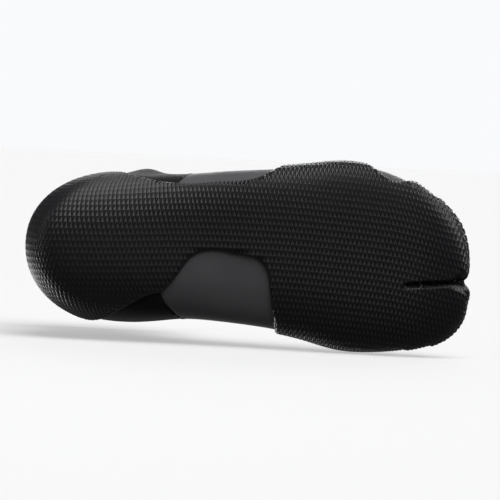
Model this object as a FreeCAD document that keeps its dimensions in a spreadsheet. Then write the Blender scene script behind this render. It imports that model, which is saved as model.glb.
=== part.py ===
"""Split-toe neoprene surf boot, right foot, size EU 42.

Frame: +X to the toes, +Y to the wearer's left (the big-toe side), +Z up the leg. The tread
rests on z = 0 and the origin is under the middle of the boot. All sizes are millimetres.

The boot is layered over one last. Every layer is the last's outermost form moved inwards:
rubber, then neoprene, then lining, then the room for the foot. The forms are lofts through
the same stations, and each sub-part is cut out of a layer by seam profiles seen from the
side or from below.
"""
import FreeCAD, Part
import math
import os
import Sketcher
from FreeCAD import Vector

doc = FreeCAD.newDocument("SplitToeBoot")

# ---------------------------------------------------------------- driving dimensions
DIMENSIONS = [
    ("boot_length", 274.0),        # toe to heel, over the rubber
    ("ball_width", 116.5),         # widest place, over the rubber
    ("boot_height", 165.0),        # tread to the top of the cuff
    ("rubber_thickness", 2.6),
    ("overlay_thickness", 0.8),    # the extra rubber layers round the toes
    ("neoprene_thickness", 3.0),
    ("lining_thickness", 0.8),
    ("insole_thickness", 3.5),
    ("slit_gap", 5.6),             # between the big toe and the other four
    ("slit_depth", 41.0),
    ("slit_offset", 14.2),         # from the boot's middle to the slit
    ("ankle_axis_back", 76.0),     # behind the origin
    ("ankle_low", 66.0),           # height of the flex zone's lower seam there
    ("ankle_high", 102.0),         # and of its upper seam
    ("ankle_tilt", 10.0),          # degrees, both seams rise to the front
    ("body_gap", 0.3),             # between parts that move against each other
    ("binding_thickness", 1.0),
    ("binding_depth", 7.0),
    ("gripper_height", 22.0),
    ("tape_thickness", 0.4),
    ("tape_width", 9.0),
    ("loop_width", 16.0),
    ("loop_length", 30.0),
    ("loop_depth", 8.0),
    ("web_thickness", 1.5),
    ("patch_height", 16.0),
    ("patch_width", 22.0),
]
sheet = doc.addObject("Spreadsheet::Sheet", "Dimensions")
for row, (alias, value) in enumerate(DIMENSIONS, start=1):
    sheet.set("A%d" % row, alias)
    sheet.set("B%d" % row, str(value))
    sheet.setAlias("B%d" % row, alias)
doc.recompute()


def size(alias):
    return float(sheet.get(alias))


# The last is drawn at this size and stretched to the driving dimensions.
DRAWN_LENGTH, DRAWN_WIDTH, DRAWN_HEIGHT = 274.0, 116.5, 165.0
LONG = size("boot_length") / DRAWN_LENGTH
WIDE = size("ball_width") / DRAWN_WIDTH
TALL = size("boot_height") / DRAWN_HEIGHT

# ---------------------------------------------------------------- the last
# Upright stations from the toe tip to the instep:
# x, lateral y, medial y, top z, bottom z, z of the widest place, fullness above and below.
FOOT_STATIONS = [
    (135.4, 4.0, 23.0, 19.5, 11.0, 15.0, 2.0, 2.0),
    (134.0, -6.5, 31.0, 24.5, 7.0, 15.5, 2.0, 2.1),
    (130.5, -18.5, 38.8, 29.5, 4.0, 16.5, 2.0, 2.3),
    (124.0, -28.5, 45.8, 34.0, 1.8, 17.5, 2.0, 2.5),
    (112.0, -39.5, 52.0, 39.0, 0.0, 18.5, 2.0, 2.7),
    (96.0, -49.8, 56.0, 43.5, -0.8, 19.5, 2.0, 2.8),
    (77.0, -56.4, 58.2, 49.0, -0.8, 20.5, 2.0, 2.8),
    (57.0, -58.7, 57.8, 55.5, -0.8, 22.0, 2.0, 2.8),
    (36.0, -56.2, 53.0, 62.5, -0.6, 23.0, 1.95, 2.8),
]
# Stations that fan round a point in front of the ankle, from upright to level:
# degrees from upright, lateral y, medial y, then distances from that point to the instep
# side, to the sole or heel side and to the widest place, then fullness on both sides.
FAN_X, FAN_Z = 8.0, 118.0
FAN_STATIONS = [
    (0.0, -52.8, 48.6, 45.5, 116.8, 94.0, 1.9, 2.9),
    (14.0, -50.6, 46.9, 42.5, 119.8, 94.0, 1.9, 2.9),
    (27.0, -47.8, 46.7, 40.5, 131.5, 97.0, 1.9, 2.7),
    (36.0, -46.6, 48.7, 39.9, 146.2, 100.5, 1.9, 2.5),
    (43.0, -46.0, 50.4, 39.6, 161.6, 103.0, 1.9, 2.4),
    (48.0, -45.6, 51.2, 39.4, 172.0, 104.5, 1.9, 2.3),
    (52.0, -44.8, 51.2, 39.3, 173.6, 105.0, 1.9, 2.25),
    (57.0, -43.6, 49.6, 39.0, 170.4, 104.0, 1.9, 2.2),
    (64.0, -41.8, 45.8, 38.5, 161.3, 100.0, 1.95, 2.1),
    (72.0, -40.0, 42.4, 38.0, 149.9, 95.0, 2.0, 2.05),
    (81.0, -38.7, 39.8, 37.2, 139.2, 89.0, 2.0, 2.0),
    (90.0, -38.2, 38.6, 36.6, 133.8, 84.5, 2.0, 2.0),
]
# Level stations up the leg: z, lateral y, medial y, front x, back x, x of the widest place.
LEG_STATIONS = [
    (136.0, -38.8, 39.2, -27.9, -125.6, -76.0),
    (156.0, -40.2, 40.6, -26.6, -127.0, -76.5),
    (175.0, -41.8, 42.2, -24.6, -129.0, -77.0),
]
LAST_BOTTOM = -0.8                 # how far the last dips under the floor that cuts the tread
TOE_ROUNDING = 38.0                # the stretch of the toe that an inward move shortens
THINNEST_TIP = 2.0                 # an inner form starts at the first station this deep
SECTION_POINTS = 28


def rounded(value, fullness):
    return math.copysign(abs(value) ** (2.0 / fullness), value)


def section(origin, outward, lateral, medial, inner, outer, middle, full_in, full_out, grow):
    """A closed curve across the last. origin and outward lie in the XZ plane."""
    half = (medial - lateral) / 2.0 + grow
    centre = (medial + lateral) / 2.0
    points = []
    for index in range(SECTION_POINTS):
        angle = 2.0 * math.pi * index / SECTION_POINTS
        fullness = full_out if math.sin(angle) > 0 else full_in
        reach = (outer + grow - middle) if math.sin(angle) > 0 else (middle - inner + grow)
        across = centre + half * rounded(math.cos(angle), fullness)
        along = middle + reach * rounded(math.sin(angle), fullness)
        point = origin + outward * along
        points.append(Vector(point.x * LONG, across * WIDE, point.z * TALL))
    knots = [index / SECTION_POINTS for index in range(SECTION_POINTS + 1)]
    curve = Part.BSplineCurve()
    curve.interpolate(Points=points, PeriodicFlag=True, Parameters=knots)
    return curve


def last_sections(grow):
    """All stations of the last, moved out by grow or in by a negative grow."""
    curves = []
    toe_start = FOOT_STATIONS[0][0] - TOE_ROUNDING
    for x, lateral, medial, top, bottom, middle, full_top, full_bottom in FOOT_STATIONS:
        if min(top - middle, middle - bottom) + grow < THINNEST_TIP:
            continue
        shift = grow * max(0.0, (x - toe_start) / TOE_ROUNDING)
        curves.append(section(Vector(x + shift, 0, 0), Vector(0, 0, -1), lateral, medial,
                              -top, -bottom, -middle, full_top, full_bottom, grow))
    for degrees, lateral, medial, inner, outer, middle, full_in, full_out in FAN_STATIONS:
        turn = math.radians(degrees)
        outward = Vector(-math.sin(turn), 0, -math.cos(turn))
        curves.append(section(Vector(FAN_X, 0, FAN_Z), outward, lateral, medial,
                              inner, outer, middle, full_in, full_out, grow))
    for z, lateral, medial, front, back, middle in LEG_STATIONS:
        curves.append(section(Vector(0, 0, z), Vector(-1, 0, 0), lateral, medial,
                              -front, -back, -middle, 2.0, 2.0, grow))
    return curves


def skin_through(curves):
    """One smooth surface through closed curves that share their knots."""
    rows = [curve.getPoles() for curve in curves]
    steps = [0.0]
    for before, after in zip(rows, rows[1:]):
        gaps = [start.distanceToPoint(end) for start, end in zip(before, after)]
        steps.append(steps[-1] + sum(gaps) / len(gaps))
    lengthwise = []
    for column in range(len(rows[0])):
        spine = Part.BSplineCurve()
        spine.interpolate(Points=[row[column] for row in rows], Parameters=steps)
        lengthwise.append(spine)
    first = lengthwise[0]
    skin = Part.BSplineSurface()
    skin.buildFromPolesMultsKnots(
        [spine.getPoles() for spine in lengthwise],
        curves[0].getMultiplicities(), first.getMultiplicities(),
        curves[0].getKnots(), first.getKnots(), True, False, curves[0].Degree, first.Degree)
    return skin


def form(name, grow):
    """The whole last as a solid, moved out by grow."""
    curves = last_sections(grow)
    ends = [Part.Face(Part.Wire([curve.toShape()])) for curve in (curves[0], curves[-1])]
    shell = Part.makeShell([skin_through(curves).toShape()] + ends)
    shell.sewShape()
    solid = Part.Solid(shell)
    if solid.Volume < 0:
        solid.reverse()
    feature = doc.addObject("Part::Feature", name)
    feature.Shape = solid
    return feature


# ---------------------------------------------------------------- layers of the last
RUBBER = size("rubber_thickness")
OVERLAY = size("overlay_thickness")
NEOPRENE = RUBBER + size("neoprene_thickness")
LINING = NEOPRENE + size("lining_thickness")
TAPE = RUBBER - size("tape_thickness")
PATCH = RUBBER - 2.0 * size("tape_thickness")
BINDING = size("binding_thickness")

toe_cap_form = form("toe_cap_form", 2.0 * OVERLAY)
toe_rand_form = form("toe_rand_form", OVERLAY)
rubber_form = form("rubber_form", 0.0)
binding_form = form("binding_form", BINDING - RUBBER)
patch_form = form("patch_form", -PATCH)
tape_form = form("tape_form", -TAPE)
upper_form = form("upper_form", -RUBBER)
inner_form = form("inner_form", -NEOPRENE)
cavity_form = form("cavity_form", -LINING)
gripper_form = form("gripper_form", -LINING - OVERLAY)
binding_inner_form = form("binding_inner_form", -LINING - OVERLAY - BINDING)

# ---------------------------------------------------------------- seam profiles
FAR = 220.0                        # past every side of the boot
# The front seam seen from the side (x, z): the grey front panels lie ahead of it.
FRONT_SEAM = [(-60.0, -6.0), (-52.0, 6.0), (-44.5, 13.0), (-38.0, 28.0), (-33.0, 55.0),
              (-34.0, 82.0), (-42.0, 122.0), (-54.0, 180.0)]
# The rubber's top edge seen from the side (x, z), on the lateral and the medial side.
LATERAL_RAND = [(-150.0, 44.0), (-115.0, 43.0), (-95.0, 40.0), (-80.0, 31.0), (-68.0, 19.0),
                (-56.0, 12.8), (-43.0, 9.8), (-20.0, 8.6), (0.0, 8.6), (12.0, 12.5),
                (21.0, 25.0), (32.0, 33.0), (50.0, 36.0), (61.0, 32.0), (69.0, 21.0),
                (77.0, 11.0), (86.0, 7.8), (93.0, 10.0), (99.0, 20.0), (106.0, 27.0),
                (120.0, 30.0), (150.0, 30.0)]
MEDIAL_RAND = [(-150.0, 44.0), (-115.0, 43.0), (-100.0, 38.0), (-90.0, 28.0), (-80.0, 15.0),
               (-70.0, 8.0), (-57.0, 4.5), (-30.0, 6.0), (0.0, 10.0), (12.0, 21.0),
               (22.0, 30.0), (40.0, 35.0), (60.0, 34.0), (80.0, 31.5), (100.0, 30.0),
               (120.0, 30.0), (150.0, 30.0)]
# Outlines seen from above (x, y).
ARCH_OPENING = [(-57.0, 35.0), (-42.5, 16.4), (-34.0, 4.4), (-23.0, 0.1), (-6.0, 2.0),
                (6.0, 4.4), (11.3, 9.5), (14.5, 22.0), (19.4, 50.6)]
ARCH_PANEL_MARGIN = 6.0            # how far the arch panel runs on under the rubber
ARCH_SPREAD, ARCH_RISE = 0.8, 0.6  # shares of a margin that go lengthwise and crosswise
ARCH_PANEL_TOP = 42.0
SOLE_PANEL = [(-119.0, 0.0), (-105.0, -25.0), (-75.0, -33.0), (-40.0, -32.0), (0.0, -35.0),
              (40.0, -41.0), (75.0, -41.0), (105.0, -28.0), (120.0, -4.0), (119.0, 24.0),
              (100.0, 40.0), (70.0, 43.0), (35.0, 38.0), (0.0, 32.0), (-40.0, 30.0),
              (-75.0, 32.0), (-105.0, 25.0)]
SOLE_PANEL_TOP = 12.0
TOE_RAND_ZONE = [(97.0, 6.0), (118.0, 7.0), (150.0, 13.0), (150.0, 29.0), (112.0, 28.5),
                 (101.0, 25.0)]
TOE_CAP_ZONE = [(113.0, 9.0), (124.0, 10.0), (150.0, 15.0), (150.0, 26.0), (122.0, 26.0),
                (114.5, 22.0)]
SLIT_FLARE_START, SLIT_FLARE_END, SLIT_FLARE = 34.0, 48.0, 7.0
SLIT_TURN = -5.8                   # degrees, the slit leans towards the lateral side
SLIT_ROOT_SHIFT = 1.4              # its root lies this much further out than its middle


def spline(points):
    curve = Part.BSplineCurve()
    curve.interpolate(points)
    return curve.toShape()


def polyline(points):
    return [Part.makeLine(start, end) for start, end in zip(points, points[1:])]


def seen_from_side(pairs):
    return [Vector(x * LONG, -FAR, z * TALL) for x, z in pairs]


def seen_from_above(pairs):
    return [Vector(x * LONG, y * WIDE, -FAR) for x, y in pairs]


def cutter(name, edges, direction, length):
    """A closed outline pushed along direction from where it is drawn."""
    outline = doc.addObject("Part::Feature", name + "_outline")
    outline.Shape = Part.Face(Part.Wire(edges))
    block = doc.addObject("Part::Extrusion", name)
    block.Base = outline
    block.DirMode = "Custom"
    block.Dir = direction
    block.LengthFwd = length
    block.Solid = False
    return block


def side_cutter(name, pairs, corners=(), length=2 * FAR, curved=True):
    """A profile in XZ pushed through the whole boot. corners close a curved profile."""
    curve = seen_from_side(pairs)
    close = seen_from_side([pairs[-1]] + list(corners) + [pairs[0]])
    edges = [spline(curve)] if curved else polyline(curve)
    return cutter(name, edges + polyline(close), Vector(0, 1, 0), length)


def common(name, first, second):
    feature = doc.addObject("Part::Common", name)
    feature.Base, feature.Tool = first, second
    return feature


def cut(name, base, tool):
    feature = doc.addObject("Part::Cut", name)
    feature.Base, feature.Tool = base, tool
    return feature


def fuse(name, first, second):
    feature = doc.addObject("Part::Fuse", name)
    feature.Base, feature.Tool = first, second
    return feature


def block(name, low, high):
    """A box between two corners. A corner value is a number or an expression on the sheet."""
    box = doc.addObject("Part::Box", name)
    for axis, side, start, end in zip("xyz", ("Length", "Width", "Height"), low, high):
        box.setExpression("Placement.Base." + axis, "%s" % start)
        box.setExpression(side, "(%s) - (%s)" % (end, start))
    return box


# Blocks and profiles that several sub-parts share.
front_side = side_cutter("front_side", FRONT_SEAM, [(FAR, FRONT_SEAM[-1][1]), (FAR, -6.0)])
lateral_half = block("lateral_half", (-FAR, -FAR, -FAR), (FAR, 0, FAR))


def level(name, low, high):
    """The space between two seams that rise to the front, or a flat end."""
    slope = math.tan(math.radians(size("ankle_tilt")))
    back = -size("ankle_axis_back")

    def seam_height(height, x):
        return height if height in (-FAR, SHAFT_TOP) else height + (x - back) * slope

    corners = [(-FAR, seam_height(low, -FAR)), (FAR, seam_height(low, FAR)),
               (FAR, seam_height(high, FAR)), (-FAR, seam_height(high, -FAR))]
    points = [Vector(x, -FAR, z) for x, z in corners + corners[:1]]
    return cutter(name, polyline(points), Vector(0, 1, 0), 2 * FAR)


SHAFT_TOP = size("boot_height") - BINDING
GAP = size("body_gap")
foot_level = level("foot_level", -FAR, size("ankle_low"))
ankle_level = level("ankle_level", size("ankle_low"), size("ankle_high") - GAP)
shaft_level = level("shaft_level", size("ankle_high"), SHAFT_TOP)


def slit_cutter(name, wall):
    """The space between the toes, widened by wall on each side."""
    half = size("slit_gap") / 2.0 + wall
    root = Vector(size("boot_length") / 2.0 - size("slit_depth") + half - wall, 0, 0)
    root.y = size("slit_offset") + SLIT_ROOT_SHIFT
    corners = [(0.0, half), (SLIT_FLARE_START, half), (SLIT_FLARE_END, half + SLIT_FLARE),
               (SLIT_FLARE_END, -half - SLIT_FLARE), (SLIT_FLARE_START, -half), (0.0, -half)]
    turn = math.radians(SLIT_TURN)

    def placed(along, across):
        return root + Vector(along * math.cos(turn) - across * math.sin(turn),
                             along * math.sin(turn) + across * math.cos(turn), -20.0)

    points = [placed(*corner) for corner in corners]
    arc = Part.Arc(points[-1], placed(-half, 0.0), points[0]).toShape()
    return cutter(name, polyline(points) + [arc], Vector(0, 0, 1), 120.0)


slit = slit_cutter("slit", 0.0)
slit_in_neoprene = slit_cutter("slit_in_neoprene", size("neoprene_thickness"))
slit_in_lining = slit_cutter("slit_in_lining", LINING - RUBBER)


def above_cutter(name, pairs, grow, top):
    """An outline on the medial side, open past the boot's edge, pushed up to top."""
    moved = [(x + grow * ARCH_SPREAD * (1 if x > -10 else -1), y - grow * ARCH_RISE)
             for x, y in pairs]
    close = [moved[-1], (moved[-1][0] + 2.0, FAR), (moved[0][0], FAR), moved[0]]
    edges = [spline(seen_from_above(moved))] + polyline(seen_from_above(close))
    return cutter(name, edges, Vector(0, 0, 1), FAR + top)


arch_opening = above_cutter("arch_opening", ARCH_OPENING, 0.0, 60.0)
arch_zone = above_cutter("arch_zone", ARCH_OPENING, ARCH_PANEL_MARGIN, ARCH_PANEL_TOP)


def closed_spline(points):
    curve = Part.BSplineCurve()
    curve.interpolate(Points=points, PeriodicFlag=True)
    return curve.toShape()


sole_zone = cutter("sole_zone", [closed_spline(seen_from_above(SOLE_PANEL))],
                   Vector(0, 0, 1), FAR + SOLE_PANEL_TOP)

# ---------------------------------------------------------------- walls
upper_split = cut("upper_split", upper_form, slit)
inner_split = cut("inner_split", inner_form, slit_in_neoprene)
cavity_split = cut("cavity_split", cavity_form, slit_in_lining)
neoprene_wall = cut("neoprene_wall", upper_split, inner_split)
lining_wall = cut("lining_wall", inner_split, cavity_split)
ankle_wall = cut("ankle_wall", upper_form, cavity_form)
tape_layer = cut("tape_layer", tape_form, upper_form)

PARTS = []


def sub_part(name, wall, zone):
    """The piece of a wall that lies in a zone."""
    keep_part(name, common(name, wall, zone))


def keep_part(name, feature):
    feature.Label = name
    PARTS.append(feature)


# ---------------------------------------------------------------- rubber
def make_outsole():
    """Tread and the rand that wraps up the sides, open at the arch."""
    lateral = side_cutter("lateral_rand", LATERAL_RAND, [(150.0, -60.0), (-150.0, -60.0)],
                          length=FAR)
    medial = side_cutter("medial_rand", MEDIAL_RAND, [(150.0, -60.0), (-150.0, -60.0)])
    medial_half = cut("medial_rand_half", medial, lateral_half)
    rand = fuse("rand_zone", lateral, medial_half)
    floor = block("floor", (-FAR, -FAR, -FAR), (FAR, FAR, 0))
    zone = cut("outsole_zone", cut("rand_above_floor", rand, floor), arch_opening)
    skin = cut("rubber_skin", cut("rubber_split", rubber_form, slit), upper_form)
    sub_part("outsole", skin, zone)


def make_toe_layers():
    """Two thinner rubber layers over the rand round the toes, one over the other."""
    layers = [("toe_rand", toe_rand_form, rubber_form, TOE_RAND_ZONE),
              ("toe_cap", toe_cap_form, toe_rand_form, TOE_CAP_ZONE)]
    for name, outside, inside, outline in layers:
        zone = side_cutter(name + "_zone", outline, curved=False)
        skin = cut(name + "_skin", outside, inside)
        sub_part(name, skin, cut(name + "_split_zone", zone, slit))


# ---------------------------------------------------------------- neoprene of the foot
def make_foot_neoprene():
    """The sock is cut from panels: a closed bottom, the grey front and arch, two black
    quarters behind the front seam, and a strip that walls the slit between the toes."""
    not_slit = cut("foot_off_slit", foot_level, slit_in_neoprene)
    bottom = common("bottom_zone", not_slit, sole_zone)
    arch = common("arch_panel_zone", arch_zone, front_side)
    sub_part("sole_panel", neoprene_wall, cut("sole_panel_zone", bottom, arch))
    sub_part("arch_panel", neoprene_wall, arch)
    sub_part("toe_gusset", upper_split, slit_in_neoprene)

    above = cut("sides_zone", not_slit, fuse("under_zone", sole_zone, arch_zone))
    sub_part("vamp", neoprene_wall, common("vamp_zone", above, front_side))
    rear = cut("rear_zone", cut("rear_sides", foot_level, sole_zone), front_side)
    sub_part("lateral_quarter", neoprene_wall, common("lateral_zone", rear, lateral_half))
    sub_part("medial_quarter", neoprene_wall, cut("medial_zone", rear, lateral_half))


def make_foot_inside():
    sub_part("foot_lining", lining_wall, foot_level)
    top = "%s + %s + Dimensions.insole_thickness" % (LINING, LAST_BOTTOM)
    sub_part("insole", cavity_split, block("insole_slab", (-FAR, -FAR, -FAR), (FAR, FAR, top)))


def make_heel_tape():
    strip = block("heel_strip", (-FAR, "-Dimensions.tape_width / 2", 46.0),
                  (-100, "Dimensions.tape_width / 2", 100))
    sub_part("heel_seam_tape", tape_layer, common("heel_tape_zone", strip, foot_level))


# ---------------------------------------------------------------- flex zone and shaft
def make_ankle():
    sub_part("ankle_front", ankle_wall, common("ankle_front_zone", ankle_level, front_side))
    sub_part("ankle_back", ankle_wall, cut("ankle_back_zone", ankle_level, front_side))


def make_shaft():
    wall = cut("shaft_wall", upper_form, inner_form)
    sub_part("shaft_front", wall, common("shaft_front_zone", shaft_level, front_side))
    sub_part("shaft_back", wall, cut("shaft_back_zone", shaft_level, front_side))
    sub_part("shaft_lining", cut("shaft_lining_wall", inner_form, cavity_form), shaft_level)


def make_cuff():
    """The grip band inside the cuff and the binding folded over its edge."""
    low = "%s - Dimensions.gripper_height" % SHAFT_TOP
    band = block("gripper_band", (-FAR, -FAR, low), (FAR, FAR, SHAFT_TOP))
    sub_part("cuff_gripper", cut("gripper_wall", cavity_form, gripper_form), band)

    edge = "Dimensions.boot_height - Dimensions.binding_depth"
    rim = block("binding_rim", (-FAR, -FAR, edge), (FAR, FAR, "Dimensions.boot_height"))
    folded = common("binding_folded", cut("binding_wall", binding_form, binding_inner_form), rim)
    inside = block("binding_slot", (-FAR, -FAR, 0), (FAR, FAR, SHAFT_TOP))
    edge_wall = common("cuff_edge", cut("cuff_wall", upper_form, gripper_form), inside)
    keep_part("cuff_binding", cut("cuff_binding", folded, edge_wall))


def make_side_tapes():
    """One tape down each side of the shaft over the front seam."""
    half = size("tape_width") / 2.0
    ahead = seen_from_side([(x + half, z) for x, z in FRONT_SEAM])
    behind = seen_from_side([(x - half, z) for x, z in reversed(FRONT_SEAM)])
    edges = [spline(ahead), Part.makeLine(ahead[-1], behind[0]),
             spline(behind), Part.makeLine(behind[-1], ahead[0])]
    band = cutter("side_seam_band", edges, Vector(0, 1, 0), 2 * FAR)
    edge = "Dimensions.boot_height - Dimensions.binding_depth"
    below = block("below_binding", (-FAR, -FAR, 0), (FAR, FAR, edge))
    zone = common("side_tape_zone", common("side_tape_level", band, shaft_level), below)
    sub_part("side_seam_tapes", tape_layer, zone)


# ---------------------------------------------------------------- pull loop
LOOP_AXIS_HEIGHT = 149.0
SHAFT_BACK = 126.5 - RUBBER        # the shaft's back at that height


def make_loop_patch():
    """The patch that anchors the loop at the back of the shaft."""
    top = "Dimensions.boot_height - Dimensions.binding_depth"
    strip = block("patch_strip",
                  (-FAR, "-Dimensions.patch_width / 2", top + " - Dimensions.patch_height"),
                  (-100, "Dimensions.patch_width / 2", top))
    sub_part("loop_patch", cut("patch_layer", patch_form, upper_form), strip)


def add_slot(sketch, radius, length, radius_rule, length_rule):
    """A round-ended slot that hangs from the sketch's origin."""
    first = sketch.GeometryCount
    up, down = Vector(0, 0, 0), Vector(0, -length, 0)
    axis = Vector(0, 0, 1)
    half_turn = math.pi
    sketch.addGeometry(Part.ArcOfCircle(Part.Circle(up, axis, radius), 0.0, half_turn))
    sketch.addGeometry(Part.LineSegment(Vector(-radius, 0, 0), Vector(-radius, -length, 0)))
    sketch.addGeometry(Part.ArcOfCircle(Part.Circle(down, axis, radius), half_turn,
                                        2.0 * half_turn))
    sketch.addGeometry(Part.LineSegment(Vector(radius, -length, 0), Vector(radius, 0, 0)))
    top, left, bottom, right = range(first, first + 4)
    rules = [("Tangent", top, 2, left, 1), ("Tangent", left, 2, bottom, 1),
             ("Tangent", bottom, 2, right, 1), ("Tangent", right, 2, top, 1),
             ("Vertical", left), ("Coincident", top, 3, -1, 1)]
    for rule in rules:
        sketch.addConstraint(Sketcher.Constraint(*rule))
    for kind, value, expression in (("Radius", radius, radius_rule),
                                    ("DistanceY", length, length_rule)):
        if kind == "Radius":
            index = sketch.addConstraint(Sketcher.Constraint(kind, top, value))
        else:
            index = sketch.addConstraint(Sketcher.Constraint(kind, bottom, 3, top, 3, value))
        sketch.setExpression("Constraints[%d]" % index, expression)


def make_pull_loop():
    """A closed webbing loop that hangs down the back of the shaft."""
    body = doc.addObject("PartDesign::Body", "pull_loop")
    sketch = body.newObject("Sketcher::SketchObject", "loop_profile")
    plane = [f for f in body.Origin.OriginFeatures if f.Role == "XZ_Plane"][0]
    sketch.AttachmentSupport = [(plane, "")]
    sketch.MapMode = "FlatFace"
    radius = size("loop_depth") / 2.0
    length = size("loop_length") - size("loop_depth")
    hang = "Dimensions.loop_length - Dimensions.loop_depth"
    add_slot(sketch, radius, length, "Dimensions.loop_depth / 2", hang)
    add_slot(sketch, radius - size("web_thickness"), length,
             "Dimensions.loop_depth / 2 - Dimensions.web_thickness", hang)
    pad = body.newObject("PartDesign::Pad", "loop_web")
    pad.Profile = sketch
    pad.SideType = "Symmetric"
    pad.setExpression("Length", "Dimensions.loop_width")
    stand_off = size("loop_depth") / 2.0 + 2.0 * size("tape_thickness") + 2.0 * GAP
    body.Placement.Base = Vector(-SHAFT_BACK - stand_off, 0, LOOP_AXIS_HEIGHT)
    keep_part("pull_loop", body)


make_outsole()
make_toe_layers()
make_foot_neoprene()
make_foot_inside()
make_heel_tape()
make_ankle()
make_shaft()
make_cuff()
make_side_tapes()
make_loop_patch()
make_pull_loop()
doc.recompute()

# ---------------------------------------------------------------- check and write
for feature in doc.Objects:
    if {"Invalid", "Error"} & set(feature.State):
        raise RuntimeError("%s is %s" % (feature.Label, feature.State))
for feature in PARTS:
    shape = feature.Shape
    if shape.isNull() or not shape.isValid() or not shape.Solids:
        raise RuntimeError("%s has no valid solid" % feature.Label)

os.makedirs("parts", exist_ok=True)
for feature in PARTS:
    shape = feature.Shape
    box = shape.BoundBox
    print("%-16s %d solids %8.1f mm3  x %.1f..%.1f  y %.1f..%.1f  z %.1f..%.1f" % (
        feature.Label, len(shape.Solids), shape.Volume,
        box.XMin, box.XMax, box.YMin, box.YMax, box.ZMin, box.ZMax))
    shape.exportStep("parts/%s.step" % feature.Label)
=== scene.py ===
import math
import bpy
import bmesh
import numpy as np
from mathutils import Matrix, Vector
from mathutils.bvhtree import BVHTree


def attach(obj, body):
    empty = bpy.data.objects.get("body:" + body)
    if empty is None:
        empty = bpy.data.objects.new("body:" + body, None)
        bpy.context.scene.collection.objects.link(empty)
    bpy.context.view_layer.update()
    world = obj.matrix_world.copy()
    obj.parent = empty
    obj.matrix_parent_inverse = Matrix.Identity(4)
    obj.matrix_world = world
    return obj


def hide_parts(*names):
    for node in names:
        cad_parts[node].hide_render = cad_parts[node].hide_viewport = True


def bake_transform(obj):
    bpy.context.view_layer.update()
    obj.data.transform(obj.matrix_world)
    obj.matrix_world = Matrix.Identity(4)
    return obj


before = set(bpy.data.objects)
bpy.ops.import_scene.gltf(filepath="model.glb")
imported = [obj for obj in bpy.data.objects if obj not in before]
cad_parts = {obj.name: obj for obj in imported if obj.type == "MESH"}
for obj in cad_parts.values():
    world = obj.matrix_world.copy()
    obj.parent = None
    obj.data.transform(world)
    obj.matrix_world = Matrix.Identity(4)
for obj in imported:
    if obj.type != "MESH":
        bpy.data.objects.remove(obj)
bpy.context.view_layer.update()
MM = 0.001                      # the tables below are in millimetres, the scene in metres

# The looks of a split-toe neoprene surf boot. Every layer is the same last, moved inwards by
# the layer's depth, so a point of the boot is (around, along, grow): an angle around the
# last, a length along it from the toe tip, and a move out of it.

# ---------------------------------------------------------------- the last
# Upright stations from the toe tip to the instep: x, lateral y, medial y, top z, bottom z,
# z of the widest place, fullness above and below.
FOOT_STATIONS = [
    (135.4, 4.0, 23.0, 19.5, 11.0, 15.0, 2.0, 2.0),
    (134.0, -6.5, 31.0, 24.5, 7.0, 15.5, 2.0, 2.1),
    (130.5, -18.5, 38.8, 29.5, 4.0, 16.5, 2.0, 2.3),
    (124.0, -28.5, 45.8, 34.0, 1.8, 17.5, 2.0, 2.5),
    (112.0, -39.5, 52.0, 39.0, 0.0, 18.5, 2.0, 2.7),
    (96.0, -49.8, 56.0, 43.5, -0.8, 19.5, 2.0, 2.8),
    (77.0, -56.4, 58.2, 49.0, -0.8, 20.5, 2.0, 2.8),
    (57.0, -58.7, 57.8, 55.5, -0.8, 22.0, 2.0, 2.8),
    (36.0, -56.2, 53.0, 62.5, -0.6, 23.0, 1.95, 2.8),
]
# Stations that fan round a point in front of the ankle: degrees from upright, lateral y,
# medial y, distances to the instep side, the sole or heel side and the widest place,
# fullness on both sides.
FAN_X, FAN_Z = 8.0, 118.0
FAN_STATIONS = [
    (0.0, -52.8, 48.6, 45.5, 116.8, 94.0, 1.9, 2.9),
    (14.0, -50.6, 46.9, 42.5, 119.8, 94.0, 1.9, 2.9),
    (27.0, -47.8, 46.7, 40.5, 131.5, 97.0, 1.9, 2.7),
    (36.0, -46.6, 48.7, 39.9, 146.2, 100.5, 1.9, 2.5),
    (43.0, -46.0, 50.4, 39.6, 161.6, 103.0, 1.9, 2.4),
    (48.0, -45.6, 51.2, 39.4, 172.0, 104.5, 1.9, 2.3),
    (52.0, -44.8, 51.2, 39.3, 173.6, 105.0, 1.9, 2.25),
    (57.0, -43.6, 49.6, 39.0, 170.4, 104.0, 1.9, 2.2),
    (64.0, -41.8, 45.8, 38.5, 161.3, 100.0, 1.95, 2.1),
    (72.0, -40.0, 42.4, 38.0, 149.9, 95.0, 2.0, 2.05),
    (81.0, -38.7, 39.8, 37.2, 139.2, 89.0, 2.0, 2.0),
    (90.0, -38.2, 38.6, 36.6, 133.8, 84.5, 2.0, 2.0),
]
# Level stations up the leg: z, lateral y, medial y, front x, back x, x of the widest place.
LEG_STATIONS = [
    (136.0, -38.8, 39.2, -27.9, -125.6, -76.0),
    (156.0, -40.2, 40.6, -26.6, -127.0, -76.5),
    (175.0, -41.8, 42.2, -24.6, -129.0, -77.0),
]
TIP_ROWS = [(0.0, 137.0), (0.38, 136.85), (0.7, 136.35)]      # share of the first station, x
TOE_START, TOE_ROUNDING = 97.4, 38.0      # where an inward move starts to shorten the toe
DEEPEST = 0.9                   # share of the half depth that a layer moves in at most
LEG_DEPTH = 30.0                # half depth that counts from the instep up
SECTION_POINTS = 28
CHUNK = 40000                   # places worked out at once

# Depths of the layers under the tread's outermost form.
RUBBER, NEOPRENE, LINING = 2.6, 5.6, 6.4
TAPE, PATCH, GRIP = 2.2, 1.8, 7.2
OVERLAY = 0.8


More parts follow.
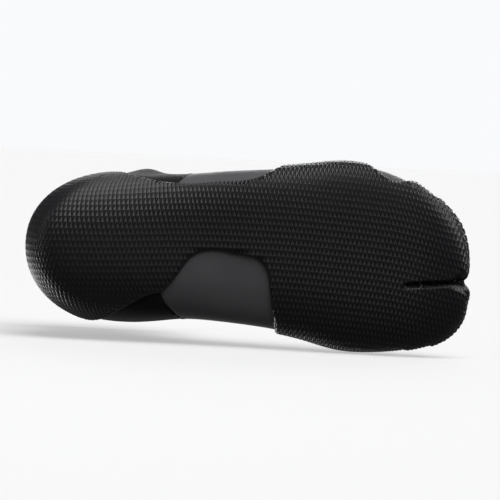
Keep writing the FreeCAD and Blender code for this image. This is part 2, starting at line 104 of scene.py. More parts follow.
def station_points(grow):
    """(station, point, xyz) for every station of the last, moved out by grow."""
    angles = 2.0 * math.pi * np.arange(SECTION_POINTS) / SECTION_POINTS
    cos, sin = np.cos(angles), np.sin(angles)
    rows = []

    def add(origin, outward, lateral, medial, inner, outer, middle, full_in, full_out, shift=0.0):
        fullness = np.where(sin > 0, full_out, full_in)
        reach = np.where(sin > 0, outer + grow - middle, middle - inner + grow)
        half, centre = (medial - lateral) / 2.0 + grow, (medial + lateral) / 2.0
        across = centre + half * np.sign(cos) * np.abs(cos) ** (2.0 / fullness)
        along = middle + reach * np.sign(sin) * np.abs(sin) ** (2.0 / fullness)
        rows.append(np.stack([origin[0] + shift + outward[0] * along, across,
                              origin[1] + outward[1] * along], axis=1))

    for x, lateral, medial, top, bottom, middle, full_top, full_bottom in FOOT_STATIONS:
        shift = grow * max(0.0, (x - TOE_START) / TOE_ROUNDING)
        add((x, 0.0), (0.0, -1.0), lateral, medial, -top, -bottom, -middle, full_top,
            full_bottom, shift)
    tip = rows[0].copy()
    middle = tip.mean(axis=0)
    caps = []
    for share, x in TIP_ROWS:
        cap = middle + share * (tip - middle)
        cap[:, 0] = x + grow
        caps.append(cap)
    for degrees, lateral, medial, inner, outer, middle, full_in, full_out in FAN_STATIONS:
        turn = math.radians(degrees)
        add((FAN_X, FAN_Z), (-math.sin(turn), -math.cos(turn)), lateral, medial, inner, outer,
            middle, full_in, full_out)
    for z, lateral, medial, front, back, middle in LEG_STATIONS:
        add((0.0, z), (-1.0, 0.0), lateral, medial, -front, -back, -middle, 2.0, 2.0)
    return np.array(caps + rows)


def bending(knots):
    """The matrix from a natural spline's values at its knots to its second derivatives."""
    count, gap = len(knots), np.diff(knots)
    left, right = np.eye(count), np.zeros((count, count))
    for i in range(1, count - 1):
        left[i, i - 1:i + 2] = gap[i - 1] / 6, (gap[i - 1] + gap[i]) / 3, gap[i] / 6
        right[i, i - 1:i + 2] = 1 / gap[i - 1], -1 / gap[i - 1] - 1 / gap[i], 1 / gap[i]
    return np.linalg.solve(left, right)


def spline_shares(knots, bend, where):
    """One row per place: the share that each knot's value has in the spline there."""
    i = np.clip(np.searchsorted(knots, where) - 1, 0, len(knots) - 2)
    gap = knots[i + 1] - knots[i]
    start = (knots[i + 1] - where) / gap
    end = 1.0 - start
    shares = ((start ** 3 - start) * gap ** 2 / 6)[:, None] * bend[i]
    shares += ((end ** 3 - end) * gap ** 2 / 6)[:, None] * bend[i + 1]
    rows = np.arange(len(where))
    shares[rows, i] += start
    shares[rows, i + 1] += end
    return shares


REST_ROWS = station_points(0.0)
MOVE_ROWS = station_points(1.0) - REST_ROWS
HALF_DEPTHS = np.min(np.ptp(REST_ROWS, axis=1)[:, 1:], axis=1) / 2.0
HALF_DEPTHS[-len(FAN_STATIONS) - len(LEG_STATIONS):] = LEG_DEPTH
ALONG = np.concatenate([[0.0], np.cumsum(np.linalg.norm(
    np.diff(REST_ROWS, axis=0), axis=2).mean(axis=1))])
ALONG_BEND = bending(ALONG)
TIP_ALONG = ALONG[len(TIP_ROWS) + 2]
WRAP = 6                        # points repeated past both ends of a closed section
AROUND = np.arange(-WRAP, SECTION_POINTS + WRAP + 1, dtype=float)
AROUND_BEND = bending(AROUND)
AROUND_POINT = AROUND.astype(int) % SECTION_POINTS


def interpolate(rows, around, along):
    """Values of a table over (station, point) at places on the last."""
    turns = np.mod(around / (2.0 * math.pi), 1.0) * SECTION_POINTS
    out = np.empty((len(around), rows.shape[2]))
    wide = rows[:, AROUND_POINT, :].reshape(len(rows), -1)
    for first in range(0, len(around), CHUNK):
        part = slice(first, first + CHUNK)
        lengthwise = spline_shares(ALONG, ALONG_BEND, along[part]) @ wide
        lengthwise = lengthwise.reshape(-1, len(AROUND), rows.shape[2])
        across = spline_shares(AROUND, AROUND_BEND, turns[part])
        out[part] = np.einsum("np,npk->nk", across, lengthwise)
    return out


def plain(around, along):
    """Points of the last's outermost form, in millimetres."""
    return interpolate(REST_ROWS, around, along)


# ---------------------------------------------------------------- the slit between the toes
SLIT_ROOT = (96.0, 15.6)
SLIT_TURN = math.radians(-5.8)
SLIT_HALF, SLIT_NEAR_TIP = 1.15, 0.35       # half widths
SLIT_OPENING, SLIT_CLOSING = 12.0, (20.0, 15.0)         # lengths from the root
TIP_TURN = (26.0, 12.0)                     # where the larger rounding starts and its run-in
LOBE_ROUNDING, TIP_ROUNDING = 1.9, 9.5      # radii that the skins turn into the slit with
SLIT_LINES = (0.35, 0.9, 1.7, 3.0, 4.8)     # where edges run alongside it, for the turn


def slit_frame(x, y):
    dx, dy = x - SLIT_ROOT[0], y - SLIT_ROOT[1]
    return (dx * math.cos(SLIT_TURN) + dy * math.sin(SLIT_TURN),
            dy * math.cos(SLIT_TURN) - dx * math.sin(SLIT_TURN))


def rise(value, start, length):
    """0 up to start, 1 from length further on, and a soft ramp between."""
    share = np.clip((value - start) / length, 0.0, 1.0)
    return share * share * (3.0 - 2.0 * share)


def slit_half_width(s):
    start = np.clip(s / SLIT_OPENING, 0.0, 1.0)
    closing = rise(s, *SLIT_CLOSING)
    return (SLIT_HALF * np.sqrt(start * (2.0 - start)) * (1.0 - closing)
            + SLIT_NEAR_TIP * closing)


def lobe_radius(s):
    return LOBE_ROUNDING + (TIP_ROUNDING - LOBE_ROUNDING) * rise(s, *TIP_TURN)


def off_slit(points):
    """Distance from the slit's edge, seen from above. Negative inside the slit."""
    s, c = slit_frame(points[:, 0], points[:, 1])
    beside = np.abs(c) - slit_half_width(s)
    behind = np.hypot(np.minimum(s, 0.0), c)
    return np.where(s > 0, beside, behind)


CREASE, FOLD, DENT = 0.5, 0.28, 0.35        # heights of fine creases, wide folds and dents
CREASE_LEVEL, CREASE_REACH, CREASE_SLOPE = 82.0, 15.0, 0.176
CREASE_FRONT = (-72.0, 34.0)                # x where creases begin and their run-in
DENTS_FROM, DENTS_TO = (46.0, 25.0), (146.0, 12.0)      # heights
ANKLE_BULGE = 4.0                           # how far the empty ankle stands out laterally
BULGE_X, BULGE_REACH = -63.5, 12.0
BULGE_SIDE, BULGE_FROM, BULGE_TO = (0.0, 14.0), (30.0, 28.0), (108.0, 30.0)


def wrinkles(points):
    """Soft creases of the neoprene over the instep and dents of an empty shaft."""
    x, y, z = points.T
    height = z - (x + ANKLE_BACK) * CREASE_SLOPE
    crease = CREASE * np.sin(height / 1.75 + 0.5 * np.sin(y / 9.0) + 0.022 * y)
    crease += FOLD * np.sin(height / 3.1 - y / 17.0 + 1.3)
    zone = np.exp(-((height - CREASE_LEVEL) / CREASE_REACH) ** 2) * rise(x, *CREASE_FRONT)
    dents = DENT * np.sin(x / 13.0 + 0.8) * np.sin(z / 17.0 + y / 31.0)
    dents *= rise(z, *DENTS_FROM) * (1.0 - rise(z, *DENTS_TO))
    bulge = ANKLE_BULGE * np.exp(-((x - BULGE_X) / BULGE_REACH) ** 2) * rise(-y, *BULGE_SIDE)
    bulge *= rise(z, *BULGE_FROM) * (1.0 - rise(z, *BULGE_TO))
    return crease * zone + dents + bulge


def place(around, along, grow):
    """Points of a layer, in metres. The layers turn into the slit and share the creases."""
    points = plain(around, along)
    moves = interpolate(MOVE_ROWS, around, along)
    radius = lobe_radius(slit_frame(points[:, 0], points[:, 1])[0])
    near = np.clip(off_slit(points), 0.0, radius)
    curl = radius - np.sqrt(radius ** 2 - (radius - near) ** 2)
    depth = np.interp(along, ALONG, HALF_DEPTHS)
    grow = grow + wrinkles(points) - curl
    sideways = np.maximum(grow, -DEEPEST * depth)
    shift = np.stack([np.where(along < TIP_ALONG, grow, sideways), sideways, sideways], axis=1)
    return (points + moves * shift) * MM


# ---------------------------------------------------------------- measuring along the last
TOP_CENTRE = -0.5 * math.pi     # the angle on the instep; the sole's middle is at +90 degrees
SOLE_CENTRE = 0.5 * math.pi
WIDEST_GIRTH = 310.0
TABLE_ALONG = np.linspace(0.0, ALONG[-1], 420)
TABLE_TURNS = np.linspace(0.0, math.pi, 181)


def lengths_along(line):
    """The length from a polyline's start to each of its points."""
    steps = np.linalg.norm(np.diff(line, axis=-2), axis=-1)
    return np.concatenate([np.zeros_like(steps[..., :1]), np.cumsum(steps, axis=-1)], axis=-1)


def girth_table(sign):
    """Lengths around the last from the sole's middle, for every row of TABLE_ALONG."""
    around = SOLE_CENTRE + sign * TABLE_TURNS
    points = plain(np.tile(around, len(TABLE_ALONG)), np.repeat(TABLE_ALONG, len(TABLE_TURNS)))
    return lengths_along(points.reshape(len(TABLE_ALONG), len(TABLE_TURNS), 3))


GIRTH = {-1: girth_table(-1), 1: girth_table(1)}       # -1 medial side, +1 lateral side
KEEL_LENGTH = lengths_along(plain(np.full(len(TABLE_ALONG), SOLE_CENTRE), TABLE_ALONG))
REACH_STEPS = np.linspace(0.0, 150.0, 301)
TURN_AT = {side: np.array([np.interp(REACH_STEPS, row, TABLE_TURNS) for row in table])
           for side, table in GIRTH.items()}


def lookup(table, columns, along, across):
    """Bilinear value of a table whose rows are TABLE_ALONG and whose columns are even."""
    row = np.clip(along / TABLE_ALONG[1], 0.0, len(TABLE_ALONG) - 1.001)
    column = np.clip(across / columns[1], 0.0, len(columns) - 1.001)
    i, j = row.astype(int), column.astype(int)
    a, b = row - i, column - j
    return ((1 - a) * (1 - b) * table[i, j] + (1 - a) * b * table[i, j + 1]
            + a * (1 - b) * table[i + 1, j] + a * b * table[i + 1, j + 1])


def from_sole(length, across):
    """(around, along) of a place given by its length from the toe along the sole's middle and
    its length across, medial side positive."""
    along = np.interp(length, KEEL_LENGTH, TABLE_ALONG)
    turn_medial = lookup(TURN_AT[-1], REACH_STEPS, along, np.maximum(across, 0.0))
    turn_lateral = lookup(TURN_AT[1], REACH_STEPS, along, np.maximum(-across, 0.0))
    return SOLE_CENTRE - turn_medial + turn_lateral, along


def cloth_coordinates(around, along):
    """Lengths across and along the last, in metres, for weaves and knits."""
    turn = SOLE_CENTRE - around
    medial = lookup(GIRTH[-1], TABLE_TURNS, along, np.maximum(turn, 0.0))
    lateral = lookup(GIRTH[1], TABLE_TURNS, along, np.maximum(-turn, 0.0))
    return (medial - lateral) * MM, np.interp(along, TABLE_ALONG, KEEL_LENGTH) * MM


# ---------------------------------------------------------------- seams
FAR = 220.0
FRONT_SEAM = [(-60.0, -6.0), (-52.0, 6.0), (-44.5, 13.0), (-38.0, 28.0), (-33.0, 55.0),
              (-34.0, 82.0), (-42.0, 122.0), (-54.0, 180.0)]
LATERAL_RAND = [(-150.0, 44.0), (-115.0, 43.0), (-95.0, 40.0), (-80.0, 31.0), (-68.0, 19.0),
                (-56.0, 12.8), (-43.0, 9.8), (-20.0, 8.6), (0.0, 8.6), (12.0, 12.5),
                (21.0, 25.0), (32.0, 33.0), (50.0, 36.0), (61.0, 32.0), (69.0, 21.0),
                (77.0, 11.0), (86.0, 7.8), (93.0, 10.0), (99.0, 20.0), (106.0, 27.0),
                (120.0, 30.0), (150.0, 30.0)]
MEDIAL_RAND = [(-150.0, 44.0), (-115.0, 43.0), (-100.0, 38.0), (-90.0, 28.0), (-80.0, 15.0),
               (-70.0, 8.0), (-57.0, 4.5), (-30.0, 6.0), (0.0, 10.0), (12.0, 21.0),
               (22.0, 30.0), (40.0, 35.0), (60.0, 34.0), (80.0, 31.5), (100.0, 30.0),
               (120.0, 30.0), (150.0, 30.0)]
ARCH_OPENING = [(-57.0, 35.0), (-42.5, 16.4), (-34.0, 4.4), (-23.0, 0.1), (-6.0, 2.0),
                (6.0, 4.4), (11.3, 9.5), (14.5, 22.0), (19.4, 50.6)]
ARCH_MARGIN, ARCH_MIDDLE = 6.0, -10.0       # the hidden edge of the panel lies further out
ARCH_WIDER, ARCH_DEEPER, ARCH_LEAN = 0.8, 0.6, 2.0
ARCH_TOP, ARCH_CEILING = 42.0, 60.0
SPAN_RUNS = 6                   # short runs between two points of a curve
SOLE_PANEL = [(-119.0, 0.0), (-105.0, -25.0), (-75.0, -33.0), (-40.0, -32.0), (0.0, -35.0),
              (40.0, -41.0), (75.0, -41.0), (105.0, -28.0), (120.0, -4.0), (119.0, 24.0),
              (100.0, 40.0), (70.0, 43.0), (35.0, 38.0), (0.0, 32.0), (-40.0, 30.0),
              (-75.0, 32.0), (-105.0, 25.0)]
SOLE_PANEL_TOP = 12.0
TOE_RAND_ZONE = [(97.0, 6.0), (118.0, 7.0), (150.0, 13.0), (150.0, 29.0), (112.0, 28.5),
                 (101.0, 25.0)]
TOE_CAP_ZONE = [(113.0, 9.0), (124.0, 10.0), (150.0, 15.0), (150.0, 26.0), (122.0, 26.0),
                (114.5, 22.0)]
ANKLE_TILT = math.tan(math.radians(10.0))
ANKLE_BACK = 76.0
ANKLE_LOW, ANKLE_HIGH = 66.0, 102.0
SHAFT_TOP = 164.0
BINDING_BOTTOM = 158.0


def curve(points, closed=False):
    """A smooth line through 2-D points, as close short runs."""
    points = np.array(points, float)
    if closed:
        points = np.concatenate([points[-3:], points, points[:4]])
    knots = lengths_along(points)
    first, last = (3, len(points) - 4) if closed else (0, len(points) - 1)
    where = np.concatenate([np.linspace(knots[i], knots[i + 1], SPAN_RUNS, endpoint=False)
                            for i in range(first, last)] + [[knots[last]]])
    return spline_shares(knots, bending(knots), where) @ points


def beside(line, x, y):
    """Distance from points to a polyline, positive on its left."""
    nearest, side = np.full(len(x), 1e12), np.zeros(len(x))
    for (ax, ay), (bx, by) in zip(line[:-1], line[1:]):
        dx, dy = bx - ax, by - ay
        t = np.clip(((x - ax) * dx + (y - ay) * dy) / (dx * dx + dy * dy), 0.0, 1.0)
        ex, ey = x - ax - t * dx, y - ay - t * dy
        distance = ex * ex + ey * ey
        nearer = distance < nearest
        nearest = np.where(nearer, distance, nearest)
        side = np.where(nearer, dx * ey - dy * ex, side)
    return np.sign(side) * np.sqrt(nearest)


FRONT_LINE = curve(FRONT_SEAM)
LATERAL_LINE, MEDIAL_LINE = curve(LATERAL_RAND), curve(MEDIAL_RAND)


def arch_line(grow):
    """The opening's edge moved out by grow, and on up to beyond the boot."""
    inside = curve([(x + ARCH_WIDER * math.copysign(grow, x - ARCH_MIDDLE),
                     y - ARCH_DEEPER * grow) for x, y in ARCH_OPENING])
    return np.concatenate([[(inside[0][0], FAR)], inside,
                           [(inside[-1][0] + ARCH_LEAN, FAR)]])


ARCH_LINE, ARCH_PANEL_LINE = arch_line(0.0), arch_line(ARCH_MARGIN)
SOLE_LINE = curve(SOLE_PANEL, closed=True)


# Each rule is positive inside its zone and measures millimetres from the zone's edge.
def ahead(p):
    return -beside(FRONT_LINE, p[:, 0], p[:, 2])


def under_rand(p):
    lateral = -beside(LATERAL_LINE, p[:, 0], p[:, 2])
    medial = -beside(MEDIAL_LINE, p[:, 0], p[:, 2])
    return np.where(p[:, 1] < 0, lateral, medial)


def in_arch(p):
    return np.where(p[:, 2] < ARCH_CEILING, beside(ARCH_LINE, p[:, 0], p[:, 1]), -ARCH_MARGIN)


def in_arch_panel(p):
    return np.minimum(beside(ARCH_PANEL_LINE, p[:, 0], p[:, 1]), ARCH_TOP - p[:, 2])


def in_sole_panel(p):
    return np.minimum(beside(SOLE_LINE, p[:, 0], p[:, 1]), SOLE_PANEL_TOP - p[:, 2])


def above_level(height):
    return lambda p: p[:, 2] - (p[:, 0] + ANKLE_BACK) * ANKLE_TILT - height


def above(height):
    return lambda p: p[:, 2] - height


def lateral_side(p):
    return -p[:, 1]


def beyond_edges(p, corners):
    """Distances inwards from straight edges between corners seen from the side."""
    found = []
    for (ax, az), (bx, bz) in zip(corners, corners[1:]):
        run = math.hypot(bx - ax, bz - az)
        found.append(((bx - ax) * (p[:, 2] - az) - (bz - az) * (p[:, 0] - ax)) / run)
    return np.min(found, axis=0)


def in_zone(zone):
    """A zone whose corners go round it once and all bulge outwards."""
    return lambda p: beyond_edges(p, zone + zone[:1])


def outside(rule):
    return lambda p: -rule(p)


def both(first, second):
    return lambda p: np.minimum(first(p), second(p))


def either(first, second):
    return lambda p: np.maximum(first(p), second(p))


# ---------------------------------------------------------------- cutting and closing sheets
def divide(spots, faces, value, keep_below):
    """Cuts faces where value crosses zero. What lies below goes unless keep_below is set."""
    inside = value > 0
    flags = inside.tolist()
    new_spots, cache, kept = [], {}, []
    for face in faces:
        marks = [flags[i] for i in face]
        if all(marks):
            kept.append(face)
            continue
        if not any(marks):
            if keep_below:
                kept.append(face)
            continue
        upper, lower = [], []
        for a, b in zip(face, face[1:] + face[:1]):
            (upper if flags[a] else lower).append(a)
            if flags[a] != flags[b]:
                key = (a, b) if a < b else (b, a)
                if key not in cache:
                    share = value[key[0]] / (value[key[0]] - value[key[1]])
                    cache[key] = len(spots) + len(new_spots)
                    new_spots.append(spots[key[0]] + share * (spots[key[1]] - spots[key[0]]))
                upper.append(cache[key])
                lower.append(cache[key])
        if len(upper) > 2:
            kept.append(upper)
        if keep_below and len(lower) > 2:
            kept.append(lower)
    if new_spots:
        spots = np.concatenate([spots, np.array(new_spots)])
    return spots, kept


def trim(spots, faces, rules):
    for rule in rules:
        value = rule(plain(spots[:, 0], spots[:, 1]))
        spots, faces = divide(spots, faces, value, keep_below=False)
        used = np.unique(np.concatenate([np.array(face) for face in faces]))
        renumber = np.full(len(spots), -1)
        renumber[used] = np.arange(len(used))
        spots = spots[used]
        faces = [renumber[face].tolist() for face in faces]
    return spots, faces


def score(spots, faces, rule, depth):
    """Adds an edge line at depth inside a rule's zone, and keeps both sides."""
    value = rule(plain(spots[:, 0], spots[:, 1])) - depth
    return divide(spots, faces, value, keep_below=True)


def even_grid(step, low=0.0):
    """Spots (around, along, relief) and faces all over the last from a length on."""
    columns = int(round(WIDEST_GIRTH / step))
    rows = int(round((ALONG[-1] - low) / step))
    around = np.linspace(TOP_CENTRE, TOP_CENTRE + 2.0 * math.pi, columns + 1)
    along = np.linspace(low, ALONG[-1], rows + 1)
    spots = np.stack([np.tile(around, rows + 1), np.repeat(along, columns + 1),
                      np.zeros((rows + 1) * (columns + 1))], axis=1)
    faces = []
    for row in range(rows):
        for column in range(columns):
            a = row * (columns + 1) + column
            faces.append([a, a + 1, a + columns + 2, a + columns + 1])
    return spots, faces


def welded(spots, faces):
    """The spots on the instep line have two angles. Both become one corner."""
    last = TOP_CENTRE + 2.0 * math.pi - 1e-7
    first = TOP_CENTRE + 1e-7
    start = {round(spots[i, 1], 5): i for i in np.flatnonzero(spots[:, 0] < first)}
    alias = np.arange(len(spots))
    for i in np.flatnonzero(spots[:, 0] > last):
        alias[i] = start.get(round(spots[i, 1], 5), i)
    return [[int(alias[i]) for i in face] for face in faces]


MATERIALS = {}


def add_object(name, data):
    made = bpy.data.objects.new(name, data)
    bpy.context.scene.collection.objects.link(made)
    return made


def new_piece(name, corners, faces, material_names, face_materials=None, uv=None, sharp=32.0,
              flat=False, relief=None):
    """A mesh object from corners in metres. uv is one pair per face corner."""
    mesh = bpy.data.meshes.new(name)
    mesh.from_pydata([tuple(c) for c in corners], [], faces)
    for material in material_names:
        mesh.materials.append(MATERIALS[material])
    if face_materials is not None:
        mesh.polygons.foreach_set("material_index", face_materials)
    if uv is not None:
        layer = mesh.uv_layers.new(name="Cloth")
        layer.data.foreach_set("uv", np.asarray(uv, np.float32).ravel())
    if relief is not None:
        attribute = mesh.attributes.new("relief", "FLOAT", "POINT")
        attribute.data.foreach_set("value", np.asarray(relief, np.float32))
    mesh.polygons.foreach_set("use_smooth", [not flat] * len(mesh.polygons))
    if not flat:
        mesh.set_sharp_from_angle(angle=math.radians(sharp))
    mesh.validate()
    mesh.update()
    return add_object(name, mesh)


def close_sheet(name, spots, faces, outer, inner, materials, flat=False, inner_points=None):
    """A solid from a trimmed sheet: its outer side, its inner side and the rim between."""
    joined = welded(spots, faces)
    count = len(spots)
    top = place(spots[:, 0], spots[:, 1], outer)
    low = place(spots[:, 0], spots[:, 1], inner) if inner_points is None else inner_points
    across, along = cloth_coordinates(spots[:, 0], spots[:, 1])
    cloth = np.stack([across, along], axis=1)
    edges = set()
    for face in joined:
        edges.update(zip(face, face[1:] + face[:1]))
    all_faces, loops, kinds = [], [], []
    for shift, order, kind in ((0, 1, 0), (count, -1, len(materials) - 1)):
        for face, corner in zip(faces, joined):
            all_faces.append([i + shift for i in corner[::order]])
            loops.extend(face[::order])
            kinds.append(kind)
    for face, corner in zip(faces, joined):
        pairs = zip(corner, corner[1:] + corner[:1], face, face[1:] + face[:1])
        for a, b, own_a, own_b in pairs:
            if (b, a) not in edges:
                all_faces.append([b, a, a + count, b + count])
                loops.extend([own_b, own_a, own_a, own_b])
                kinds.append(0)
    relief = np.concatenate([spots[:, 2], np.zeros(count)])
    piece = new_piece(name, np.concatenate([top, low]), all_faces, materials, kinds,
                      cloth[loops], flat=flat, relief=relief)
    tidy = bmesh.new()
    tidy.from_mesh(piece.data)
    loose = [v for v in tidy.verts if not v.link_faces]
    bmesh.ops.delete(tidy, geom=loose, context="VERTS")
    tidy.to_mesh(piece.data)
    tidy.free()
    return piece


def finish_piece(piece, body, nodes=()):
    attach(piece, body)
    if nodes:
        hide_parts(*nodes)
    return piece


# ---------------------------------------------------------------- materials
def new_material(name, colour, roughness, **settings):
    """A principled material. Settings are the shader's own sockets."""
    material = bpy.data.materials.new(name)
    material.use_nodes = True
    shader = material.node_tree.nodes["Principled BSDF"]
    shader.inputs["Base Color"].default_value = (*colour, 1.0)
    shader.inputs["Roughness"].default_value = roughness
    for socket, value in settings.items():
        shader.inputs[socket.replace("_", " ")].default_value = value
    MATERIALS[name] = material
    return material


def node(material, kind, inputs=(), **settings):
    """A shader node. An input is a number, a colour or another node's output."""
    made = material.node_tree.nodes.new(kind)
    for key, value in settings.items():
        setattr(made, key, value)
    for socket, value in dict(inputs).items():
        if isinstance(value, bpy.types.NodeSocket):
            material.node_tree.links.new(value, made.inputs[socket])
        else:
            made.inputs[socket].default_value = value
    return made


def noise(material, scale, detail=2.0):
    where = node(material, "ShaderNodeTexCoord").outputs["Object"]
    return node(material, "ShaderNodeTexNoise", {"Vector": where, "Scale": scale,
                                                 "Detail": detail}).outputs["Fac"]


def cloth_map(material, width, length):
    """Cloth coordinates counted in repeats of width across and length along, in mm."""
    uv = node(material, "ShaderNodeUVMap", uv_map="Cloth").outputs["UV"]
    scale = (1.0 / (width * MM), 1.0 / (length * MM), 1.0)
    return node(material, "ShaderNodeMapping", {"Vector": uv, "Scale": scale}).outputs["Vector"]


def maths(material, operation, *values):
    return node(material, "ShaderNodeMath", enumerate(values), operation=operation).outputs[0]


def feed(material, socket, output):
    shader = material.node_tree.nodes["Principled BSDF"]
    material.node_tree.links.new(output, shader.inputs[socket])


def shade(material, factor, stops):
    """Base colour from a factor through colour stops."""
    ramp = node(material, "ShaderNodeValToRGB", {"Fac": factor})
    elements = ramp.color_ramp.elements
    while len(elements) < len(stops):
        elements.new(0.5)
    for element, (position, colour) in zip(elements, stops):
        element.position = position
        element.color = (*colour, 1.0)
    feed(material, "Base Color", ramp.outputs["Color"])


def roughen(material, factor, low, high):
    spread = node(material, "ShaderNodeMapRange", {"Value": factor, "To Min": low,
                                                   "To Max": high})
    feed(material, "Roughness", spread.outputs["Result"])


def emboss(material, layers):
    """Bumps from (height socket, strength, depth in mm) one on another."""
    normal = None
    for height, strength, depth in layers:
        inputs = {"Height": height, "Strength": strength, "Distance": depth * MM}
        if normal is not None:
            inputs["Normal"] = normal
        normal = node(material, "ShaderNodeBump", inputs).outputs["Normal"]
    feed(material, "Normal", normal)


def split(material, vector):
    return node(material, "ShaderNodeSeparateXYZ", {"Vector": vector}).outputs


def knit_height(material, width, length):
    """Columns of V stitches, the face of a fine jersey knit, from 0 to 1."""
    x, y, _ = split(material, cloth_map(material, width, length))
    lean = maths(material, "PINGPONG", x, 0.5)
    column = maths(material, "SINE", maths(material, "MULTIPLY", lean, 2.0 * math.pi))
    rise = maths(material, "ADD", y, maths(material, "MULTIPLY", lean, 1.1))
    row = maths(material, "SINE", maths(material, "MULTIPLY", rise, 2.0 * math.pi))
    row = maths(material, "MULTIPLY_ADD", row, 0.35, 0.5)
    return maths(material, "MULTIPLY", column, row)


def weave_height(material, width, length):
    """Over and under yarns of a plain weave, from 0 to 1."""
    x, y, _ = split(material, cloth_map(material, width, length))
    warp, weft = (maths(material, "ABSOLUTE", maths(
        material, "SINE", maths(material, "MULTIPLY", along, math.pi))) for along in (x, y))
    check = maths(material, "FLOORED_MODULO", maths(
        material, "ADD", maths(material, "FLOOR", x), maths(material, "FLOOR", y)), 2.0)
    other = maths(material, "SUBTRACT", 1.0, check)
    return maths(material, "ADD", maths(material, "MULTIPLY", warp, check),
                 maths(material, "MULTIPLY", weft, other))


RUB = 0.07                      # how far rubbing changes a jersey's roughness


def jersey(name, dark, light, roughness, sheen, pitch, depth, specular=0.22):
    """Neoprene with a knitted face: stitches, fuzz and faint rubbing."""
    material = new_material(name, dark, roughness, Sheen_Weight=sheen, Sheen_Roughness=0.45,
                            Specular_IOR_Level=specular)
    cloud = noise(material, 38.0, 4.0)
    shade(material, cloud, [(0.3, dark), (0.7, light)])
    roughen(material, noise(material, 160.0, 3.0), roughness - RUB, roughness + RUB)
    emboss(material, [(knit_height(material, pitch, pitch * 1.3), 0.6, depth),
                      (noise(material, 2600.0, 2.0), 0.3, 0.05)])
    return material


def tread_material():
    material = new_material("tread_rubber", (0.008, 0.008, 0.0085), 0.42,
                            Specular_IOR_Level=0.38)
    relief = node(material, "ShaderNodeAttribute", attribute_name="relief").outputs["Fac"]
    cloud = noise(material, 55.0, 5.0)
    # Painted shade and highlight: the colour runs from dark in the grooves to lighter on the
    # plateaus, mottled by noise.
    relief_shade_mottle = maths(material, "MULTIPLY", relief, cloud)
    shade(material, relief_shade_mottle, [(0.0, (0.0042, 0.0042, 0.0054)), (0.35, (0.0066, 0.0066, 0.0080)),
                           (0.7, (0.0098, 0.0098, 0.0116))])
    roughen(material, noise(material, 240.0, 3.0), 0.34, 0.5)
    emboss(material, [(noise(material, 1500.0, 3.0), 0.35, 0.06)])
    return material


def dress(material, colours, colour_factor, rub_scale, rub_detail, rub_range, bumps):
    """Colour stops over a factor, roughness over a noise and bumps."""
    shade(material, colour_factor, colours)
    roughen(material, noise(material, rub_scale, rub_detail), *rub_range)
    emboss(material, bumps)


def make_materials():
    tread_material()
    jersey("grey_neoprene", (0.062, 0.061, 0.065), (0.074, 0.073, 0.077), 0.62, 0.12, 0.75,
           0.05)
    jersey("black_neoprene", (0.0020, 0.0020, 0.0023), (0.0058, 0.0058, 0.0063), 0.72, 0.07,
           0.8, 0.07, 0.12)
    jersey("lining_jersey", (0.018, 0.019, 0.022), (0.034, 0.036, 0.041), 0.85, 0.4, 1.1, 0.16)

    foam = new_material("footbed_foam", (0.03, 0.03, 0.033), 0.8, Sheen_Weight=0.2)
    shade(foam, noise(foam, 900.0, 3.0), [(0.42, (0.016, 0.016, 0.018)),
                                          (0.6, (0.06, 0.062, 0.068))])
    emboss(foam, [(noise(foam, 1200.0, 3.0), 0.5, 0.12)])

    tape = new_material("seam_tape", (0.006, 0.006, 0.0065), 0.58, Specular_IOR_Level=0.16)
    dress(tape, [(0.35, (0.005, 0.005, 0.0055)), (0.7, (0.010, 0.010, 0.011))],
          noise(tape, 90.0, 3.0), 300.0, 2.0, (0.5, 0.66),
          [(weave_height(tape, 0.45, 0.45), 0.35, 0.03)])

    grip = new_material("grip_band", (0.012, 0.012, 0.013), 0.28, Coat_Weight=0.25)
    dress(grip, [(0.3, (0.009, 0.009, 0.010)), (0.75, (0.017, 0.017, 0.018))],
          noise(grip, 120.0, 3.0), 400.0, 2.0, (0.22, 0.38),
          [(noise(grip, 800.0, 2.0), 0.25, 0.05)])

    binding = new_material("binding_tape", (0.007, 0.007, 0.0075), 0.55, Sheen_Weight=0.15)
    yarns = weave_height(binding, 0.7, 0.35)
    # Painted shade: the weave's low places take the darker colour and its raised yarns the
    # lighter one.
    dress(binding, [(0.1, (0.004, 0.004, 0.0045)), (0.9, (0.012, 0.012, 0.013))], yarns,
          200.0, 2.0, (0.48, 0.64), [(yarns, 0.7, 0.12)])

    web = new_material("loop_webbing", (0.008, 0.008, 0.0085), 0.6, Sheen_Weight=0.1)
    yarns = weave_height(web, 1.6, 1.2)
    # Painted highlight and shade: the raised yarns take the light grey and the weave's low places
    # near black.
    dress(web, [(0.1, (0.002, 0.002, 0.0025)), (0.9, (0.024, 0.024, 0.026))], yarns,
          220.0, 2.0, (0.5, 0.7), [(yarns, 0.9, 0.3)])

    thread = new_material("stitch_thread", (0.03, 0.03, 0.033), 0.5, Sheen_Weight=0.2)
    dress(thread, [(0.3, (0.05, 0.05, 0.053)), (0.7, (0.11, 0.11, 0.116))],
          noise(thread, 700.0, 2.0), 500.0, 1.0, (0.42, 0.6),
          [(noise(thread, 3500.0, 1.0), 0.4, 0.05)])


# ---------------------------------------------------------------- the tread
CELL_ALONG, CELL_ACROSS = 2.62, 7.7         # diagonals of a tread rhombus
HEEL_STRETCH, HEEL_START = 0.0006, 150.0    # the rhombi grow longer towards the heel
PLATEAU = 0.26                              # a plateau's size as a share of its rhombus
GROOVE_DEPTH, RAND_GROOVE = 0.62, 0.26      # the grooves are shallower up the sides
RAND_START, RAND_FADE = 2.5, 11.0
TREAD_EDGE, TREAD_EDGE_DROP = 1.3, 0.9      # the stretch and depth that an edge rounds over
TOE_BOW, BOW_REACH, BOW_FADE = 0.0022, 62.0, (25.0, 90.0)   # rows bow round the toes
EDGE_RELIEF = 0.35                          # the share of their height that plateaus keep there
TREAD_LENGTH, TREAD_REACH, TOE_LENGTH = 345.0, 112.0, 80.0
FEATHER, FEATHER_LIFT = 7.0, 0.03           # an overlay's lower edge fades into the tread


